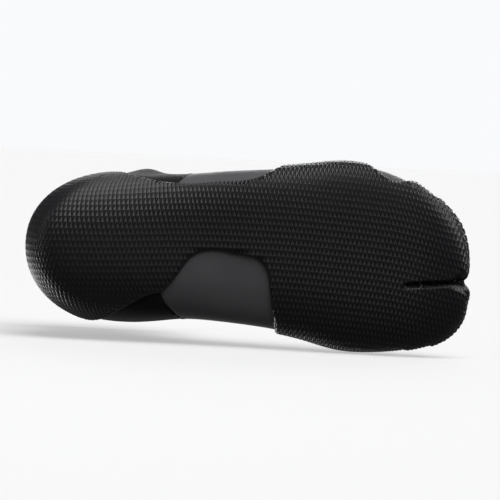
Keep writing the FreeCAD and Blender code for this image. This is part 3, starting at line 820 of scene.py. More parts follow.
def bowed(length, across):
    bow = TOE_BOW * (1.0 - rise(length, *BOW_FADE))
    stretch = HEEL_STRETCH * np.maximum(length - HEEL_START, 0.0) ** 2
    return length + stretch + bow * np.minimum(np.abs(across), BOW_REACH) ** 2


def tread_cells(high, reach):
    """Spots and faces of staggered rhombi, each with a raised plateau and four slopes."""
    step_i, step_j = CELL_ALONG / 2.0, CELL_ACROSS / 2.0
    rows = range(int(high / step_i) + 1)
    columns = range(-int(reach / step_j), int(reach / step_j) + 1)
    index, places, faces = {}, [], []

    def spot(i, j, relief):
        key = (i, j, relief)
        if key not in index:
            index[key] = len(places)
            places.append((i * step_i, j * step_j, 1.0 if relief else 0.0))
        return index[key]

    for i in rows:
        for j in columns:
            if (i + j) % 2:
                continue
            sides = [(1, 0), (0, 1), (-1, 0), (0, -1)]
            corners = [spot(i + a, j + b, 0) for a, b in sides]
            raised = [spot(i + a * PLATEAU, j + b * PLATEAU, 1) for a, b in sides]
            faces.append(raised)
            for k in range(4):
                after = (k + 1) % 4
                faces.append([corners[k], corners[after], raised[after], raised[k]])
    places = np.array(places)
    length = bowed(places[:, 0], places[:, 1])
    around, along = from_sole(np.clip(length, 0.0, KEEL_LENGTH[-1]), places[:, 1])
    spots = np.stack([around, along, places[:, 2]], axis=1)
    medial, lateral = around <= TOP_CENTRE + 1e-6, around >= TOP_CENTRE + 2 * math.pi - 1e-6
    off = (medial | lateral | (length < 0.0)).tolist()
    faces = [face for face in faces if not all(off[i] for i in face)]
    return spots, faces


def tread_piece(name, rules, thickness, high=TREAD_LENGTH, lift=None):
    """A sheet of tread rubber. lift says how far its face lies over the tread's own."""
    spots, faces = tread_cells(high, TREAD_REACH)
    spots, faces = trim(spots, faces, rules)
    for line in SLIT_LINES:
        spots, faces = score(spots, faces, off_slit, line)
    points = plain(spots[:, 0], spots[:, 1])
    edge = np.min([rule(points) for rule in rules], axis=0)
    fade = rise(edge, 0.0, TREAD_EDGE)
    spots[:, 2] *= EDGE_RELIEF + (1.0 - EDGE_RELIEF) * fade
    face = np.zeros(len(spots)) if lift is None else lift(points)
    groove = GROOVE_DEPTH + (RAND_GROOVE - GROOVE_DEPTH) * rise(
        points[:, 2], RAND_START, RAND_FADE)
    outer = face - groove * (1.0 - spots[:, 2]) - TREAD_EDGE_DROP * (
        thickness / RUBBER) * (1.0 - fade)
    inner = face - thickness
    return close_sheet(name, spots, faces, outer, inner, ["tread_rubber"], flat=True)


def feathered(zone, full):
    """An overlay's lift: nothing along its two lower edges, full further up."""
    return lambda p: full * rise(beyond_edges(p, zone[:3]), 0.0, FEATHER) + FEATHER_LIFT


def make_tread():
    rand = [under_rand, outside(in_arch), off_slit]
    outsole = tread_piece("tread_and_rand", rand, RUBBER)
    finish_piece(outsole, "foot", ["outsole"])
    layers = [("toe_rand_layer", "toe_rand", TOE_RAND_ZONE, OVERLAY),
              ("toe_cap_layer", "toe_cap", TOE_CAP_ZONE, 2.0 * OVERLAY)]
    for name, cad_node, zone, full in layers:
        layer = tread_piece(name, [in_zone(zone), off_slit], OVERLAY, TOE_LENGTH,
                            feathered(zone, full))
        finish_piece(layer, "foot", [cad_node])


# ---------------------------------------------------------------- neoprene panels
SEAM_WIDTH, SEAM_DROP = 1.3, 0.55
PANEL_STEP, HIDDEN_STEP = 2.1, 4.2


def panel(name, rules, seams, depth_out, depth_in, materials, step=PANEL_STEP, low=0.0,
          width=SEAM_WIDTH, drop=SEAM_DROP):
    """A panel of the wall between two depths. It rounds down along its seams."""
    spots, faces = even_grid(step, low)
    spots, faces = trim(spots, faces, rules)
    if off_slit in rules:
        for line in SLIT_LINES:
            spots, faces = score(spots, faces, off_slit, line)
    for seam in seams:
        for share in (1.0, 0.45):
            spots, faces = score(spots, faces, seam, width * share)
    outer = np.full(len(spots), -depth_out)
    if seams:
        points = plain(spots[:, 0], spots[:, 1])
        edge = np.min([seam(points) for seam in seams], axis=0)
        outer -= drop * (1.0 - np.clip(edge / width, 0.0, 1.0)) ** 2
    inner = np.full(len(spots), -depth_in)
    return close_sheet(name, spots, faces, outer, inner, materials)


def make_foot_panels():
    foot_low = outside(above_level(ANKLE_LOW))
    upper = [foot_low, off_slit]
    not_under = outside(either(in_sole_panel, in_arch_panel))
    behind = outside(ahead)
    quarter = [outside(in_sole_panel), behind]
    sole = [in_sole_panel, outside(both(in_arch_panel, ahead))]
    for name, cad_node, rules, seams, material, step in (
            ("sole_sock_panel", "sole_panel", sole, [], "black_neoprene", HIDDEN_STEP),
            ("grey_arch_panel", "arch_panel", [in_arch_panel, ahead], [ahead],
             "grey_neoprene", PANEL_STEP),
            ("grey_vamp", "vamp", [not_under, ahead], [ahead], "grey_neoprene", PANEL_STEP),
            ("lateral_heel_quarter", "lateral_quarter", quarter + [lateral_side], [behind],
             "black_neoprene", PANEL_STEP),
            ("medial_heel_quarter", "medial_quarter", quarter + [outside(lateral_side)],
             [behind], "black_neoprene", PANEL_STEP)):
        piece = panel(name, upper + rules, seams, RUBBER, NEOPRENE, [material], step)
        finish_piece(piece, "foot", [cad_node])
    lining = panel("foot_sock_lining", upper, [], NEOPRENE, LINING, ["lining_jersey"],
                   HIDDEN_STEP)
    finish_piece(lining, "foot", ["foot_lining"])


ANKLE_GRID, SHAFT_GRID = 150.0, 200.0       # lengths where the grids of the leg's panels start


def blend_piece(piece, nodes=()):
    """Hides the given CAD nodes and bakes the piece's transform into its mesh."""
    if nodes:
        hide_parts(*nodes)
    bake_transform(piece)


def make_ankle():
    level = [above_level(ANKLE_LOW), outside(above_level(ANKLE_HIGH))]
    for name, cad_node, side, material in (
            ("ankle_front_panel", "ankle_front", ahead, "grey_neoprene"),
            ("ankle_back_panel", "ankle_back", outside(ahead), "black_neoprene")):
        piece = panel(name, level + [side], [side], RUBBER, LINING,
                      [material, "lining_jersey"], low=ANKLE_GRID)
        blend_piece(piece, [cad_node])


def make_shaft():
    level = [above_level(ANKLE_HIGH), outside(above(SHAFT_TOP))]
    for name, cad_node, side, material in (
            ("shaft_front_panel", "shaft_front", ahead, "grey_neoprene"),
            ("shaft_back_panel", "shaft_back", outside(ahead), "black_neoprene")):
        piece = panel(name, level + [side], [side], RUBBER, NEOPRENE, [material],
                      low=SHAFT_GRID)
        finish_piece(piece, "shaft", [cad_node])
    lining = panel("shaft_sock_lining", level, [], NEOPRENE, LINING, ["lining_jersey"],
                   low=SHAFT_GRID)
    finish_piece(lining, "shaft", ["shaft_lining"])


# ---------------------------------------------------------------- surfaces to lay things on
SURFACE_STEP, PLAIN_STEP = 2.5, 3.0


def ray_tree(points, faces):
    return BVHTree.FromPolygons([Vector(point) for point in points], faces)


def surface(grow):
    """The skin of a layer as a tree for rays, in metres."""
    spots, faces = even_grid(SURFACE_STEP)
    return ray_tree(place(spots[:, 0], spots[:, 1], grow), faces)


def cloth_lengths(rows, axis):
    """Mean lengths from the first corner to each one along an axis, and once round."""
    steps = np.linalg.norm(np.diff(rows, axis=axis), axis=2).mean(axis=1 - axis)
    return np.concatenate([[0.0], np.cumsum(steps), [np.sum(steps) + np.mean(steps)]])


def grid_piece(name, rows, material, closed=True):
    """A piece from rows of corners. Every row is a closed ring. closed joins the last row to
    the first, otherwise the end rows are filled."""
    rows = np.asarray(rows)
    count, ring = rows.shape[:2]
    faces, loops = [], []
    for i in range(count if closed else count - 1):
        for j in range(ring):
            a, b = i * ring + j, i * ring + (j + 1) % ring
            c, d = (i + 1) % count * ring + (j + 1) % ring, (i + 1) % count * ring + j
            faces.append([a, b, c, d])
            loops.extend([(i, j), (i, j + 1), (i + 1, j + 1), (i + 1, j)])
    if not closed:
        faces.append(list(range(ring))[::-1])
        faces.append([(count - 1) * ring + j for j in range(ring)])
        loops.extend([(0, j) for j in range(ring)][::-1] + [(count, j) for j in range(ring)])
    lengths, widths = cloth_lengths(rows, 0), cloth_lengths(rows, 1)
    uv = [(widths[j], lengths[i]) for i, j in loops]
    return new_piece(name, rows.reshape(-1, 3), faces, [material], None, uv, sharp=40.0)


# ---------------------------------------------------------------- the walls of the slit
GUSSET_LENGTH, GUSSET_ROWS, GUSSET_THICKNESS, GUSSET_BULGE = 32.0, 9, 2.4, 0.75
GUSSET_POINTS, ROOT_CROWDING = 26, 1.6      # on each side of the slit, closer near the root
GUSSET_GAP = 0.12               # between the gusset's face and the edge the skins turn in at
GUSSET_LAP = 0.5                # how far it runs on behind the turned-in skins
GUSSET_SET_BACK, GUSSET_INSET_SHARE = 0.3, 0.45


def slit_path():
    """Places round the slit's edge from above, with directions away from the slit, in mm."""
    s = GUSSET_LENGTH * (1.0 - np.linspace(0.0, 1.0, GUSSET_POINTS)) ** ROOT_CROWDING
    c = slit_half_width(s) + GUSSET_GAP
    s, c = np.concatenate([s, s[-2::-1]]), np.concatenate([c, -c[-2::-1]])
    s[len(s) // 2] = -GUSSET_GAP * 4.0
    c[len(c) // 2] = 0.0
    away = np.stack([-np.gradient(c), np.gradient(s)], axis=1)
    away /= -np.linalg.norm(away, axis=1)[:, None]
    cos, sin = math.cos(SLIT_TURN), math.sin(SLIT_TURN)
    turn = np.array([[cos, sin], [-sin, cos]])
    return np.stack([s, c], axis=1) @ turn + SLIT_ROOT, away @ turn, lobe_radius(s)


def make_toe_gusset():
    spots, faces = even_grid(PLAIN_STEP)
    tree = ray_tree(plain(spots[:, 0], spots[:, 1]), faces)
    path, away, radius = slit_path()
    rings = []
    for (x, y), direction, curl in zip(path, away, radius):
        top = tree.ray_cast(Vector((x, y, FAR)), Vector((0.0, 0.0, -1.0)))[0]
        low = tree.ray_cast(Vector((x, y, -FAR)), Vector((0.0, 0.0, 1.0)))[0]
        inset = min(RUBBER + curl - GUSSET_LAP, (top.z - low.z) * GUSSET_INSET_SHARE)
        start, end = low.z + inset, top.z - inset
        share = np.linspace(0.0, 1.0, GUSSET_ROWS)
        back_by = GUSSET_SET_BACK - GUSSET_BULGE * np.sin(share * math.pi)
        front = np.stack([x + direction[0] * back_by, y + direction[1] * back_by,
                          start + (end - start) * share], axis=1)
        back = front[::-1].copy()
        back[:, :2] += direction * GUSSET_THICKNESS
        rings.append(np.concatenate([front, back]) * MM)
    gusset = grid_piece("toe_slit_gusset", rings, "grey_neoprene", closed=False)
    finish_piece(gusset, "foot", ["toe_gusset"])


# ---------------------------------------------------------------- inside the boot
INSOLE_TOP, INSOLE_CUP, INSOLE_EDGE = 9.1, 0.9, 3.8
INSOLE_ZONE = 30.0              # nothing of it lies higher
INSOLE_EDGE_LINES = (0.0, 0.3, 1.4)         # depths where its thin edge is cut and scored
CUP_REACH, CUP_EDGE = 3.2, 0.35
DIMPLE, DIMPLE_SIZE, DIMPLE_FADE = 0.12, 1.9, 2.0


def make_insole():
    """The footbed fills the bottom of the lining and cups up slightly at its edge."""
    rules = [outside(above(INSOLE_ZONE)), lambda p: off_slit(p) - INSOLE_EDGE]
    spots, faces = trim(*even_grid(PANEL_STEP), rules)
    for line in INSOLE_EDGE_LINES:
        room = INSOLE_TOP - place(spots[:, 0], spots[:, 1], -LINING)[:, 2] / MM
        spots, faces = divide(spots, faces, room - line, keep_below=line > 0.0)
    top = place(spots[:, 0], spots[:, 1], -LINING)
    room = np.clip(INSOLE_TOP * MM - top[:, 2], 0.0, None) / MM
    cup = INSOLE_CUP * (1.0 - rise(room, 0.0, CUP_REACH)) * rise(room, 0.0, CUP_EDGE)
    dimples = DIMPLE * np.prod(np.sin(top[:, :2] / (DIMPLE_SIZE * MM)), axis=1)
    top[:, 2] = (INSOLE_TOP + cup + dimples * rise(room, 0.0, DIMPLE_FADE)) * MM
    insole = close_sheet("footbed_insole", spots, faces, -LINING, 0.0, ["footbed_foam"],
                         inner_points=top)
    finish_piece(insole, "foot", ["insole"])


# ---------------------------------------------------------------- tapes and patch
TAPE_HALF, TAPE_UNDER, TAPE_STEP = 4.5, 0.06, 1.5
TAPE_ROUND, TAPE_DROP = 0.8, 0.3
HEEL_TAPE_BOTTOM, SIDE_TAPE_BOTTOM = 46.0, 60.0
PATCH_HALF, PATCH_BOTTOM = 11.0, 142.0
BEHIND = -100.0                 # the heel tapes and the patch lie behind this


def middle_band(half):
    return lambda p: np.minimum(half - np.abs(p[:, 1]), BEHIND - p[:, 0])


def along_front_seam(p):
    """Over the seam from SIDE_TAPE_BOTTOM up. Its lower end is round."""
    line = FRONT_LINE[FRONT_LINE[:, 1] > SIDE_TAPE_BOTTOM]
    return TAPE_HALF - np.abs(beside(line, p[:, 0], p[:, 2]))


def tape(name, rules, edge, depth=TAPE):
    return panel(name, rules, [edge], depth, RUBBER + TAPE_UNDER, ["seam_tape"], TAPE_STEP,
                 ANKLE_GRID, TAPE_ROUND, TAPE_DROP)


def make_tapes():
    low, high = above_level(ANKLE_LOW), above_level(ANKLE_HIGH)
    heel = both(middle_band(TAPE_HALF), above(HEEL_TAPE_BOTTOM))
    heel_top, side_top = above(PATCH_BOTTOM + 1.0), above(BINDING_BOTTOM)
    for name, band, top, foot_nodes, shaft_nodes in (
            ("heel_tape", heel, heel_top, ["heel_seam_tape"], ()),
            ("side_tapes", along_front_seam, side_top, (), ["side_seam_tapes"])):
        foot = tape("foot_" + name, [band, outside(low)], band)
        finish_piece(foot, "foot", foot_nodes)
        ankle = tape("ankle_" + name, [band, low, outside(high)], band)
        blend_piece(ankle)
        shaft = tape("shaft_" + name, [band, high, outside(top)], band)
        finish_piece(shaft, "shaft", shaft_nodes)
    edge = both(middle_band(PATCH_HALF), above(PATCH_BOTTOM))
    patch = tape("loop_anchor_patch", [both(edge, outside(side_top))], edge, PATCH)
    finish_piece(patch, "shaft", ["loop_patch"])


# ---------------------------------------------------------------- the cuff
CUFF_COLUMNS = 150
GRIP_BOTTOM, GRIP_RIDGES, GRIP_RIDGE = 142.0, 9, 0.28
GRIP_FADE, GRIP_OVERLAP, GRIP_SKIN = 1.2, 0.1, 0.65
BINDING_THICKNESS = 1.0
# The binding's lower edge and its stitched waist: (out, up) from its face and its bottom.
BINDING_LIP = [(0.0, 0.45), (-0.12, 0.12), (-0.5, 0.0), (-0.88, 0.12)]
BINDING_WAIST = [(0.12, 1.6), (-0.14, 2.5), (0.08, 3.4)]
FOLD_START, FOLD_HEIGHT, FOLD_POINTS = 1.6, 2.6, 15
FOLD_SQUARE, FOLD_FULL = 0.6, 0.7           # powers that make the fold fuller than an ellipse
RIDGE_FULL = 0.7
UNDER_FOLD = 1.0                # the wall's edge ends this far under the top of the shaft


def cuff_ring(profile):
    """Rings of corners round the shaft through a closed profile of (grow, height)."""
    grow, height = np.array(profile).T
    levels = np.linspace(ALONG[-4], ALONG[-1], 60)
    heights = plain(np.zeros(len(levels)), levels)[:, 2]
    along = np.interp(height, heights, levels)
    rings = []
    for around in 2.0 * math.pi * np.arange(CUFF_COLUMNS) / CUFF_COLUMNS:
        ring = place(np.full(len(grow), around), along, grow)
        ring[:, 2] = height * MM
        rings.append(ring)
    return rings


def make_cuff():
    heights = np.linspace(GRIP_BOTTOM, SHAFT_TOP, GRIP_RIDGES * 8 + 1)
    phase = (heights - GRIP_BOTTOM) / (SHAFT_TOP - GRIP_BOTTOM) * GRIP_RIDGES
    wave = GRIP_RIDGE * np.abs(np.sin(phase * math.pi)) ** RIDGE_FULL
    depth = LINING + (GRIP_SKIN + wave) * rise(heights, GRIP_BOTTOM, GRIP_FADE)
    profile = [(-LINING + GRIP_OVERLAP, z) for z in np.linspace(GRIP_BOTTOM, SHAFT_TOP, 5)]
    profile += zip(-depth[::-1], heights[::-1])
    gripper = grid_piece("ridged_cuff_gripper", cuff_ring(profile), "grip_band")
    finish_piece(gripper, "shaft", ["cuff_gripper"])

    inner, outer = -GRIP - BINDING_THICKNESS, BINDING_THICKNESS - RUBBER
    middle, half = (inner + outer) / 2.0, (outer - inner) / 2.0
    profile = [(outer + a, BINDING_BOTTOM + b) for a, b in BINDING_LIP[::-1] + BINDING_WAIST]
    profile += [(middle + half * math.copysign(abs(math.cos(a)) ** FOLD_SQUARE, math.cos(a)),
                 SHAFT_TOP - FOLD_START + FOLD_HEIGHT * math.sin(a) ** FOLD_FULL)
                for a in np.linspace(0.0, math.pi, FOLD_POINTS)]
    profile += [(inner - a, BINDING_BOTTOM + b) for a, b in BINDING_LIP]
    profile += [(grow, SHAFT_TOP - UNDER_FOLD) for grow in (0.05 - GRIP, -0.05 - RUBBER)]
    binding = grid_piece("folded_cuff_binding", cuff_ring(profile), "binding_tape")
    finish_piece(binding, "shaft", ["cuff_binding"])


# ---------------------------------------------------------------- the pull loop
LOOP_AXIS = (-129.3, 0.0, 149.0)
LOOP_RADIUS, LOOP_STRAIGHT, LOOP_SAG = 3.25, 22.0, 0.35    # of the middle of the web
WEB_WIDTH, WEB_THICKNESS, WEB_ROUND = 16.0, 1.5, 0.45
WEB_RIBS, WEB_DENT = 12, 0.10               # a row of weave near each edge lies deeper
KEEPER_REACH, KEEPER_FOOT_X = 9.5, -124.5
KEEPER_SPREAD, KEEPER_FLARE = 1.1, 2.0      # it widens where it is sewn to the patch
KEEPER_TURN, KEEPER_HEIGHT, KEEPER_THICKNESS = 1.3, 3.2, 1.3


def rounded_section(width, thickness, corner, ribs=1):
    """Corners round a flat strip's section, width along the first number. ribs adds rows
    over its faces."""
    half, deep = width / 2.0 - corner, thickness / 2.0 - corner
    section = []
    for cx, cy, first in ((half, deep, 0), (-half, deep, 90), (-half, -deep, 180),
                          (half, -deep, 270)):
        for step in (0, 45, 90):
            a = math.radians(first + step)
            section.append((cx + corner * math.cos(a), cy + corner * math.sin(a)))
        if first in (0, 180):
            sign = 1.0 if first == 0 else -1.0
            for k in range(1, ribs):
                across = half * (1.0 - 2.0 * k / ribs) * sign
                dent = WEB_DENT if k in (2, ribs - 2) else 0.0
                section.append((across, sign * (thickness / 2.0 - dent)))
    return section


def sweep(path, normals, sideways, section, scale=None):
    """Rings of a section along a path, in metres. The section's width goes sideways."""
    rings = []
    for index, (point, normal) in enumerate(zip(path, normals)):
        wide = 1.0 if scale is None else scale[index]
        rings.append([(np.array(point) + np.array(sideways) * u * wide + np.array(normal) * v)
                      * MM for u, v in section])
    return rings


def make_pull_loop():
    x, _, z = LOOP_AXIS
    half = [(LOOP_RADIUS * math.cos(a), LOOP_RADIUS * math.sin(a), math.cos(a), math.sin(a))
            for a in np.linspace(0.0, math.pi, 13)]
    half += [(LOOP_SAG * math.sin(drop / LOOP_STRAIGHT * math.pi) - LOOP_RADIUS, -drop, -1.0, 0.0)
             for drop in np.linspace(0.0, LOOP_STRAIGHT, 12)[1:-1]]
    turned = [(-a, -LOOP_STRAIGHT - b, -c, -d) for a, b, c, d in half]
    path = [(x + a, 0.0, z + b) for a, b, _, _ in half + turned]
    normals = [(c, 0.0, d) for _, _, c, d in half + turned]
    section = rounded_section(WEB_WIDTH, WEB_THICKNESS, WEB_ROUND, WEB_RIBS)
    loop = grid_piece("webbing_pull_loop", sweep(path, normals, (0.0, 1.0, 0.0), section),
                      "loop_webbing")
    finish_piece(loop, "loop", ["pull_loop"])

    outline = [(KEEPER_FOOT_X, -KEEPER_REACH)]
    corner_x, corner_y = x + KEEPER_TURN, KEEPER_REACH - KEEPER_TURN
    for a in np.linspace(0.0, math.pi / 2.0, 6):
        outline.append((corner_x - KEEPER_TURN * math.sin(a),
                        -corner_y - KEEPER_TURN * math.cos(a)))
    outline += [(px, -py) for px, py in reversed(outline)]
    outline = np.array(outline)
    ahead_of = np.gradient(outline, axis=0)
    ahead_of /= np.linalg.norm(ahead_of, axis=1)[:, None]
    path = [(px, py, z) for px, py in outline]
    normals = [(-dy, dx, 0.0) for dx, dy in ahead_of]
    foot = [1.0 + KEEPER_SPREAD * rise(px, KEEPER_FOOT_X - KEEPER_FLARE, KEEPER_FLARE)
            for px, _ in outline]
    section = rounded_section(KEEPER_HEIGHT, KEEPER_THICKNESS, WEB_ROUND)
    keeper = grid_piece("pull_loop_keeper",
                        sweep(path, normals, (0.0, 0.0, 1.0), section, foot),
                        "loop_webbing", closed=False)
    finish_piece(keeper, "shaft")


# ---------------------------------------------------------------- stitches
THREAD_RADIUS, THREAD_RISE, THREAD_DIP = 0.2, 0.24, 0.16
THREAD_END = 0.65               # share of its radius that a thread has at a stitch's ends
STITCH_LENGTH, STITCH_PITCH = 1.9, 2.7
LADDER_PITCH, LADDER_REACH = 2.1, 1.5
STITCH_RINGS, STITCH_SIDES = 5, 6
ROW_INSET = 1.3                 # from a tape's or a patch's edge to its row of stitches
LADDER_START, TAPE_END = 10.0, 46.0         # levels of the ladder on the seam
SIDE_ROW_START, SIDE_ROW_TOP = 51.0, 150.0  # levels of the rows on the side tapes
ROW_LAP = 2.0                   # a row of the side starts this much under its level
BINDING_FACE, BINDING_ROW = -1.7, 2.5       # the binding's face and its row over its bottom
HEEL_X, HEEL_ROW_GAP = -128.0, 1.0          # where the levels are read at the heel
PATCH_PITCH = 0.8               # stitches of the patch are closer by this
RING_START = 120.0              # rays at the cuff start this far from the ankle's back


def thread_piece(name, stitches):
    """One mesh of short bent threads. A stitch is (start, end, outward), in millimetres."""
    start, end, outward = (np.array(part, float) for part in zip(*stitches))
    run = end - start
    run /= np.linalg.norm(run, axis=1)[:, None]
    outward /= np.linalg.norm(outward, axis=1)[:, None]
    side = np.cross(run, outward)
    share = np.linspace(0.0, 1.0, STITCH_RINGS)
    rise = THREAD_RISE * np.sin(share * math.pi) - THREAD_DIP
    radius = THREAD_RADIUS * (THREAD_END + (1.0 - THREAD_END) * np.sin(share * math.pi))
    angles = 2.0 * math.pi * np.arange(STITCH_SIDES) / STITCH_SIDES
    middle = (start[:, None] + (end - start)[:, None] * share[None, :, None]
              + outward[:, None] * rise[None, :, None])
    ring = (side[:, None] * np.cos(angles)[None, :, None]
            + outward[:, None] * np.sin(angles)[None, :, None])
    corners = middle[:, :, None] + ring[:, None] * radius[None, :, None, None]
    faces = []
    for stitch in range(len(stitches)):
        base = stitch * STITCH_RINGS * STITCH_SIDES
        for i in range(STITCH_RINGS - 1):
            for j in range(STITCH_SIDES):
                a = base + i * STITCH_SIDES + j
                b = base + i * STITCH_SIDES + (j + 1) % STITCH_SIDES
                faces.append([a, a + STITCH_SIDES, b + STITCH_SIDES, b])
        last = base + (STITCH_RINGS - 1) * STITCH_SIDES
        faces.append([base + j for j in range(STITCH_SIDES)])
        faces.append([last + j for j in range(STITCH_SIDES)][::-1])
    return new_piece(name, corners.reshape(-1, 3) * MM, faces, ["stitch_thread"], sharp=80.0)


def cast(tree, origin, direction):
    """Where a ray meets a surface and the surface's outward direction there, in mm."""
    point, normal, _, _ = tree.ray_cast(Vector(origin) * MM, Vector(direction))
    if point is None:
        return None
    if normal.dot(Vector(direction)) > 0.0:
        normal = -normal
    return np.array(point) / MM, np.array(normal)


def spaced(line, pitch):
    """Points along a polyline at even gaps."""
    line = np.array(line, float)
    run = lengths_along(line)
    where = np.arange(pitch / 2.0, run[-1], pitch)
    return np.stack([np.interp(where, run, line[:, k]) for k in range(line.shape[1])], axis=1)


def running(hits, pitch):
    """Stitches along a row of hits, one at every pitch."""
    hits = [hit for hit in hits if hit is not None]
    if len(hits) < 2:
        return []
    line = spaced([np.concatenate(hit) for hit in hits], pitch)
    found = []
    for before, here in zip(line, line[1:]):
        run = here[:3] - before[:3]
        length = np.linalg.norm(run)
        if length > 2.0 * pitch:
            continue
        half = run / length * STITCH_LENGTH / 2.0
        found.append((here[:3] - half, here[:3] + half, here[3:]))
    return found


def seam_hits(tree, shift, low, high, side):
    """Hits along the front seam moved shift behind it, on one side, between two levels."""
    line = np.array(FRONT_LINE)
    run = np.gradient(line, axis=0)
    run /= np.linalg.norm(run, axis=1)[:, None]
    moved = line + np.stack([-run[:, 1], run[:, 0]], axis=1) * shift
    return [cast(tree, (x, side * FAR, z), (0.0, -side, 0.0)) for x, z in spaced(moved, 1.0)
            if low <= z - (x + ANKLE_BACK) * ANKLE_TILT <= high]


def ladder(tree, low, high, side):
    """A zigzag over the front seam on one side."""
    rows = []
    for shift in (-LADDER_REACH, LADDER_REACH):
        hits = [hit for hit in seam_hits(tree, shift, low, high, side) if hit is not None]
        if len(hits) < 3:
            return []
        rows.append(spaced([np.concatenate(hit) for hit in hits], LADDER_PITCH))
    found = []
    count = min(len(row) for row in rows)
    for index in range(count - 1):
        first, second = rows[index % 2][index], rows[1 - index % 2][index + 1]
        found.append((first[:3], second[:3], first[3:] + second[3:]))
    return found


def ring_hits(tree, height):
    hits = []
    for a in np.linspace(0.0, 2.0 * math.pi, 240):
        out = np.array([math.cos(a), math.sin(a), 0.0])
        hits.append(cast(tree, out * RING_START + (-ANKLE_BACK, 0.0, height), -out))
    return hits


def back_hits(tree, y_line, z_line):
    return [cast(tree, (-FAR, y, z), (1.0, 0.0, 0.0)) for y, z in zip(y_line, z_line)]


def make_stitches():
    skin, on_tape, on_patch, on_binding = (surface(grow) for grow in (
        -RUBBER, -TAPE, -PATCH, BINDING_FACE))
    foot_stitches, ankle_stitches, shaft_stitches = [], [], []
    foot_top, ankle_top = (level + (HEEL_X + ANKLE_BACK) * ANKLE_TILT
                           for level in (ANKLE_LOW, ANKLE_HIGH))
    for side in (-1.0, 1.0):
        foot_stitches += ladder(skin, LADDER_START, TAPE_END, side)
        for shift in (-TAPE_HALF + ROW_INSET, TAPE_HALF - ROW_INSET):
            for stitches, low, high in (
                    (foot_stitches, SIDE_ROW_START, ANKLE_LOW),
                    (ankle_stitches, ANKLE_LOW - ROW_LAP, ANKLE_HIGH),
                    (shaft_stitches, ANKLE_HIGH - ROW_LAP, SIDE_ROW_TOP)):
                stitches += running(seam_hits(on_tape, shift, low, high, side), STITCH_PITCH)
        y = side * (TAPE_HALF - ROW_INSET)
        for stitches, low, high in (
                (foot_stitches, HEEL_TAPE_BOTTOM, foot_top),
                (ankle_stitches, foot_top, ankle_top),
                (shaft_stitches, ankle_top, PATCH_BOTTOM + HEEL_ROW_GAP / 2.0)):
            heights = np.arange(low + HEEL_ROW_GAP, high - HEEL_ROW_GAP, 1.0)
            hits = back_hits(on_tape, np.full(len(heights), y), heights)
            stitches += running(hits, STITCH_PITCH)
    half = PATCH_HALF - ROW_INSET
    low, high = PATCH_BOTTOM + ROW_INSET, BINDING_BOTTOM - ROW_INSET
    box = [(-half, low), (half, low), (half, high), (-half, high), (-half, low)]
    for (ay, az), (by, bz) in zip(box, box[1:]):
        y_line, z_line = np.linspace(ay, by, 24), np.linspace(az, bz, 24)
        shaft_stitches += running(back_hits(on_patch, y_line, z_line),
                                  STITCH_PITCH * PATCH_PITCH)
    shaft_stitches += running(ring_hits(on_binding, BINDING_BOTTOM + BINDING_ROW),
                              STITCH_PITCH)
    finish_piece(thread_piece("foot_stitching", foot_stitches), "foot")
    finish_piece(thread_piece("shaft_stitching", shaft_stitches), "shaft")
    blend_piece(thread_piece("ankle_stitching", ankle_stitches))


# ---------------------------------------------------------------- stage, light and camera
VIEW_ROLL, VIEW_TILT = math.radians(3.0), math.radians(2.0)
VIEW_DISTANCE, VIEW_WIDTH = 3.5, 0.3055
VIEW_TARGET = Vector((0.0013, -0.0008, 0.015))
SIDE_FLOOR_Y = 0.0592           # the boot lies with its medial side on this plane


def make_camera():
    right = Vector((math.cos(VIEW_ROLL), -math.sin(VIEW_ROLL), 0.0))
    level_up = Vector((-math.sin(VIEW_ROLL), -math.cos(VIEW_ROLL), 0.0))
    ahead_level = Vector((0.0, 0.0, 1.0))
    forward = ahead_level * math.cos(VIEW_TILT) - level_up * math.sin(VIEW_TILT)
    data = bpy.data.cameras.new("Camera")
    data.sensor_width = 36.0
    data.lens = data.sensor_width / 2.0 / (VIEW_WIDTH / 2.0 / VIEW_DISTANCE)
    data.clip_start, data.clip_end = 0.05, 50.0
    camera = add_object("Camera", data)
    up = right.cross(forward)
    camera.rotation_mode = "QUATERNION"
    turn = Matrix((right, up, -forward)).transposed()
    camera.rotation_quaternion = turn.to_quaternion()
    camera.location = VIEW_TARGET - forward * VIEW_DISTANCE
    bpy.context.scene.camera = camera


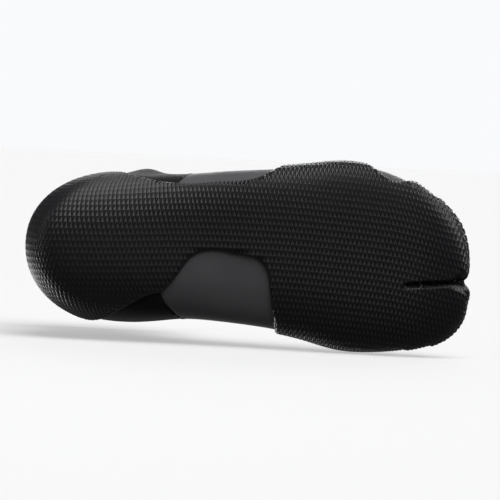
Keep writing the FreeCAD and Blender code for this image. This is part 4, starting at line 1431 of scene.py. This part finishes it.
def stage_plane(name, corners, glow, paper_white):
    """A pale plane that only the camera sees, and only from its front."""
    mesh = bpy.data.meshes.new(name)
    mesh.from_pydata(corners, [], [(0, 1, 2, 3)])
    plane = add_object(name, mesh)
    material = bpy.data.materials.new(name + "_paper")
    material.use_nodes = True
    material.node_tree.nodes.clear()
    paper = node(material, "ShaderNodeBsdfDiffuse",
                 {"Color": (paper_white, paper_white, paper_white, 1.0)}).outputs[0]
    light = node(material, "ShaderNodeEmission", {"Strength": glow}).outputs[0]
    lit = node(material, "ShaderNodeAddShader", {0: paper, 1: light}).outputs[0]
    clear = node(material, "ShaderNodeBsdfTransparent").outputs[0]
    facing = node(material, "ShaderNodeNewGeometry").outputs["Backfacing"]
    seen = node(material, "ShaderNodeMixShader", {0: facing, 1: lit, 2: clear}).outputs[0]
    node(material, "ShaderNodeOutputMaterial", {"Surface": seen})
    mesh.materials.append(material)
    plane.visible_diffuse = plane.visible_glossy = False
    plane.visible_transmission = plane.visible_shadow = False


def make_world():
    """Pale to the camera, dim to everything else."""
    world = bpy.data.worlds.new("Studio")
    bpy.context.scene.world = world
    world.use_nodes = True
    world.node_tree.nodes.clear()
    dim = node(world, "ShaderNodeBackground", {"Color": (0.96, 0.98, 1.0, 1.0),
                                               "Strength": 0.15}).outputs[0]
    pale = node(world, "ShaderNodeBackground", {"Color": (0.945, 0.955, 0.97, 1.0)}).outputs[0]
    seen = node(world, "ShaderNodeLightPath").outputs["Is Camera Ray"]
    sky = node(world, "ShaderNodeMixShader", {0: seen, 1: dim, 2: pale}).outputs[0]
    node(world, "ShaderNodeOutputWorld", {"Surface": sky})


def new_light(name, kind, toward, power, **settings):
    """A light that shines from toward, which a far light needs only as a direction."""
    data = bpy.data.lights.new(name, kind)
    data.energy = power
    for key, value in settings.items():
        setattr(data, key, value)
    light = add_object(name, data)
    light.location = toward
    light.rotation_mode = "QUATERNION"
    light.rotation_quaternion = (-Vector(toward)).to_track_quat("-Z", "Y")


def make_stage():
    far, near, y = 6.0, -4.0, SIDE_FLOOR_Y
    stage_plane("side_floor", [(-far, y, near), (far, y, near), (far, y, far), (-far, y, far)],
                0.43, 0.36)
    stage_plane("floor", [(-far, -far, 0.0), (far, -far, 0.0), (far, far, 0.0),
                          (-far, far, 0.0)], 0.5, 0.5)
    for name, toward, power, softness in (("key", (0.4, -1.0, -0.33), 3.8, 65.0),
                                          ("overhead", (0.15, -0.3, 1.0), 2.0, 40.0),
                                          ("rear", (-0.8, 0.5, 0.75), 1.3, 30.0)):
        new_light(name, "SUN", toward, power, angle=math.radians(softness))
    new_light("grazing_left", "AREA", (-1.1, -0.5, -0.65), 2.0, shape="SQUARE", size=0.5)
    make_world()
    bpy.context.scene.view_settings.view_transform = "Standard"


make_materials()
make_camera()
make_stage()
make_tread()
make_foot_panels()
make_ankle()
make_shaft()
make_toe_gusset()
make_insole()
make_tapes()
make_cuff()
make_pull_loop()
make_stitches()
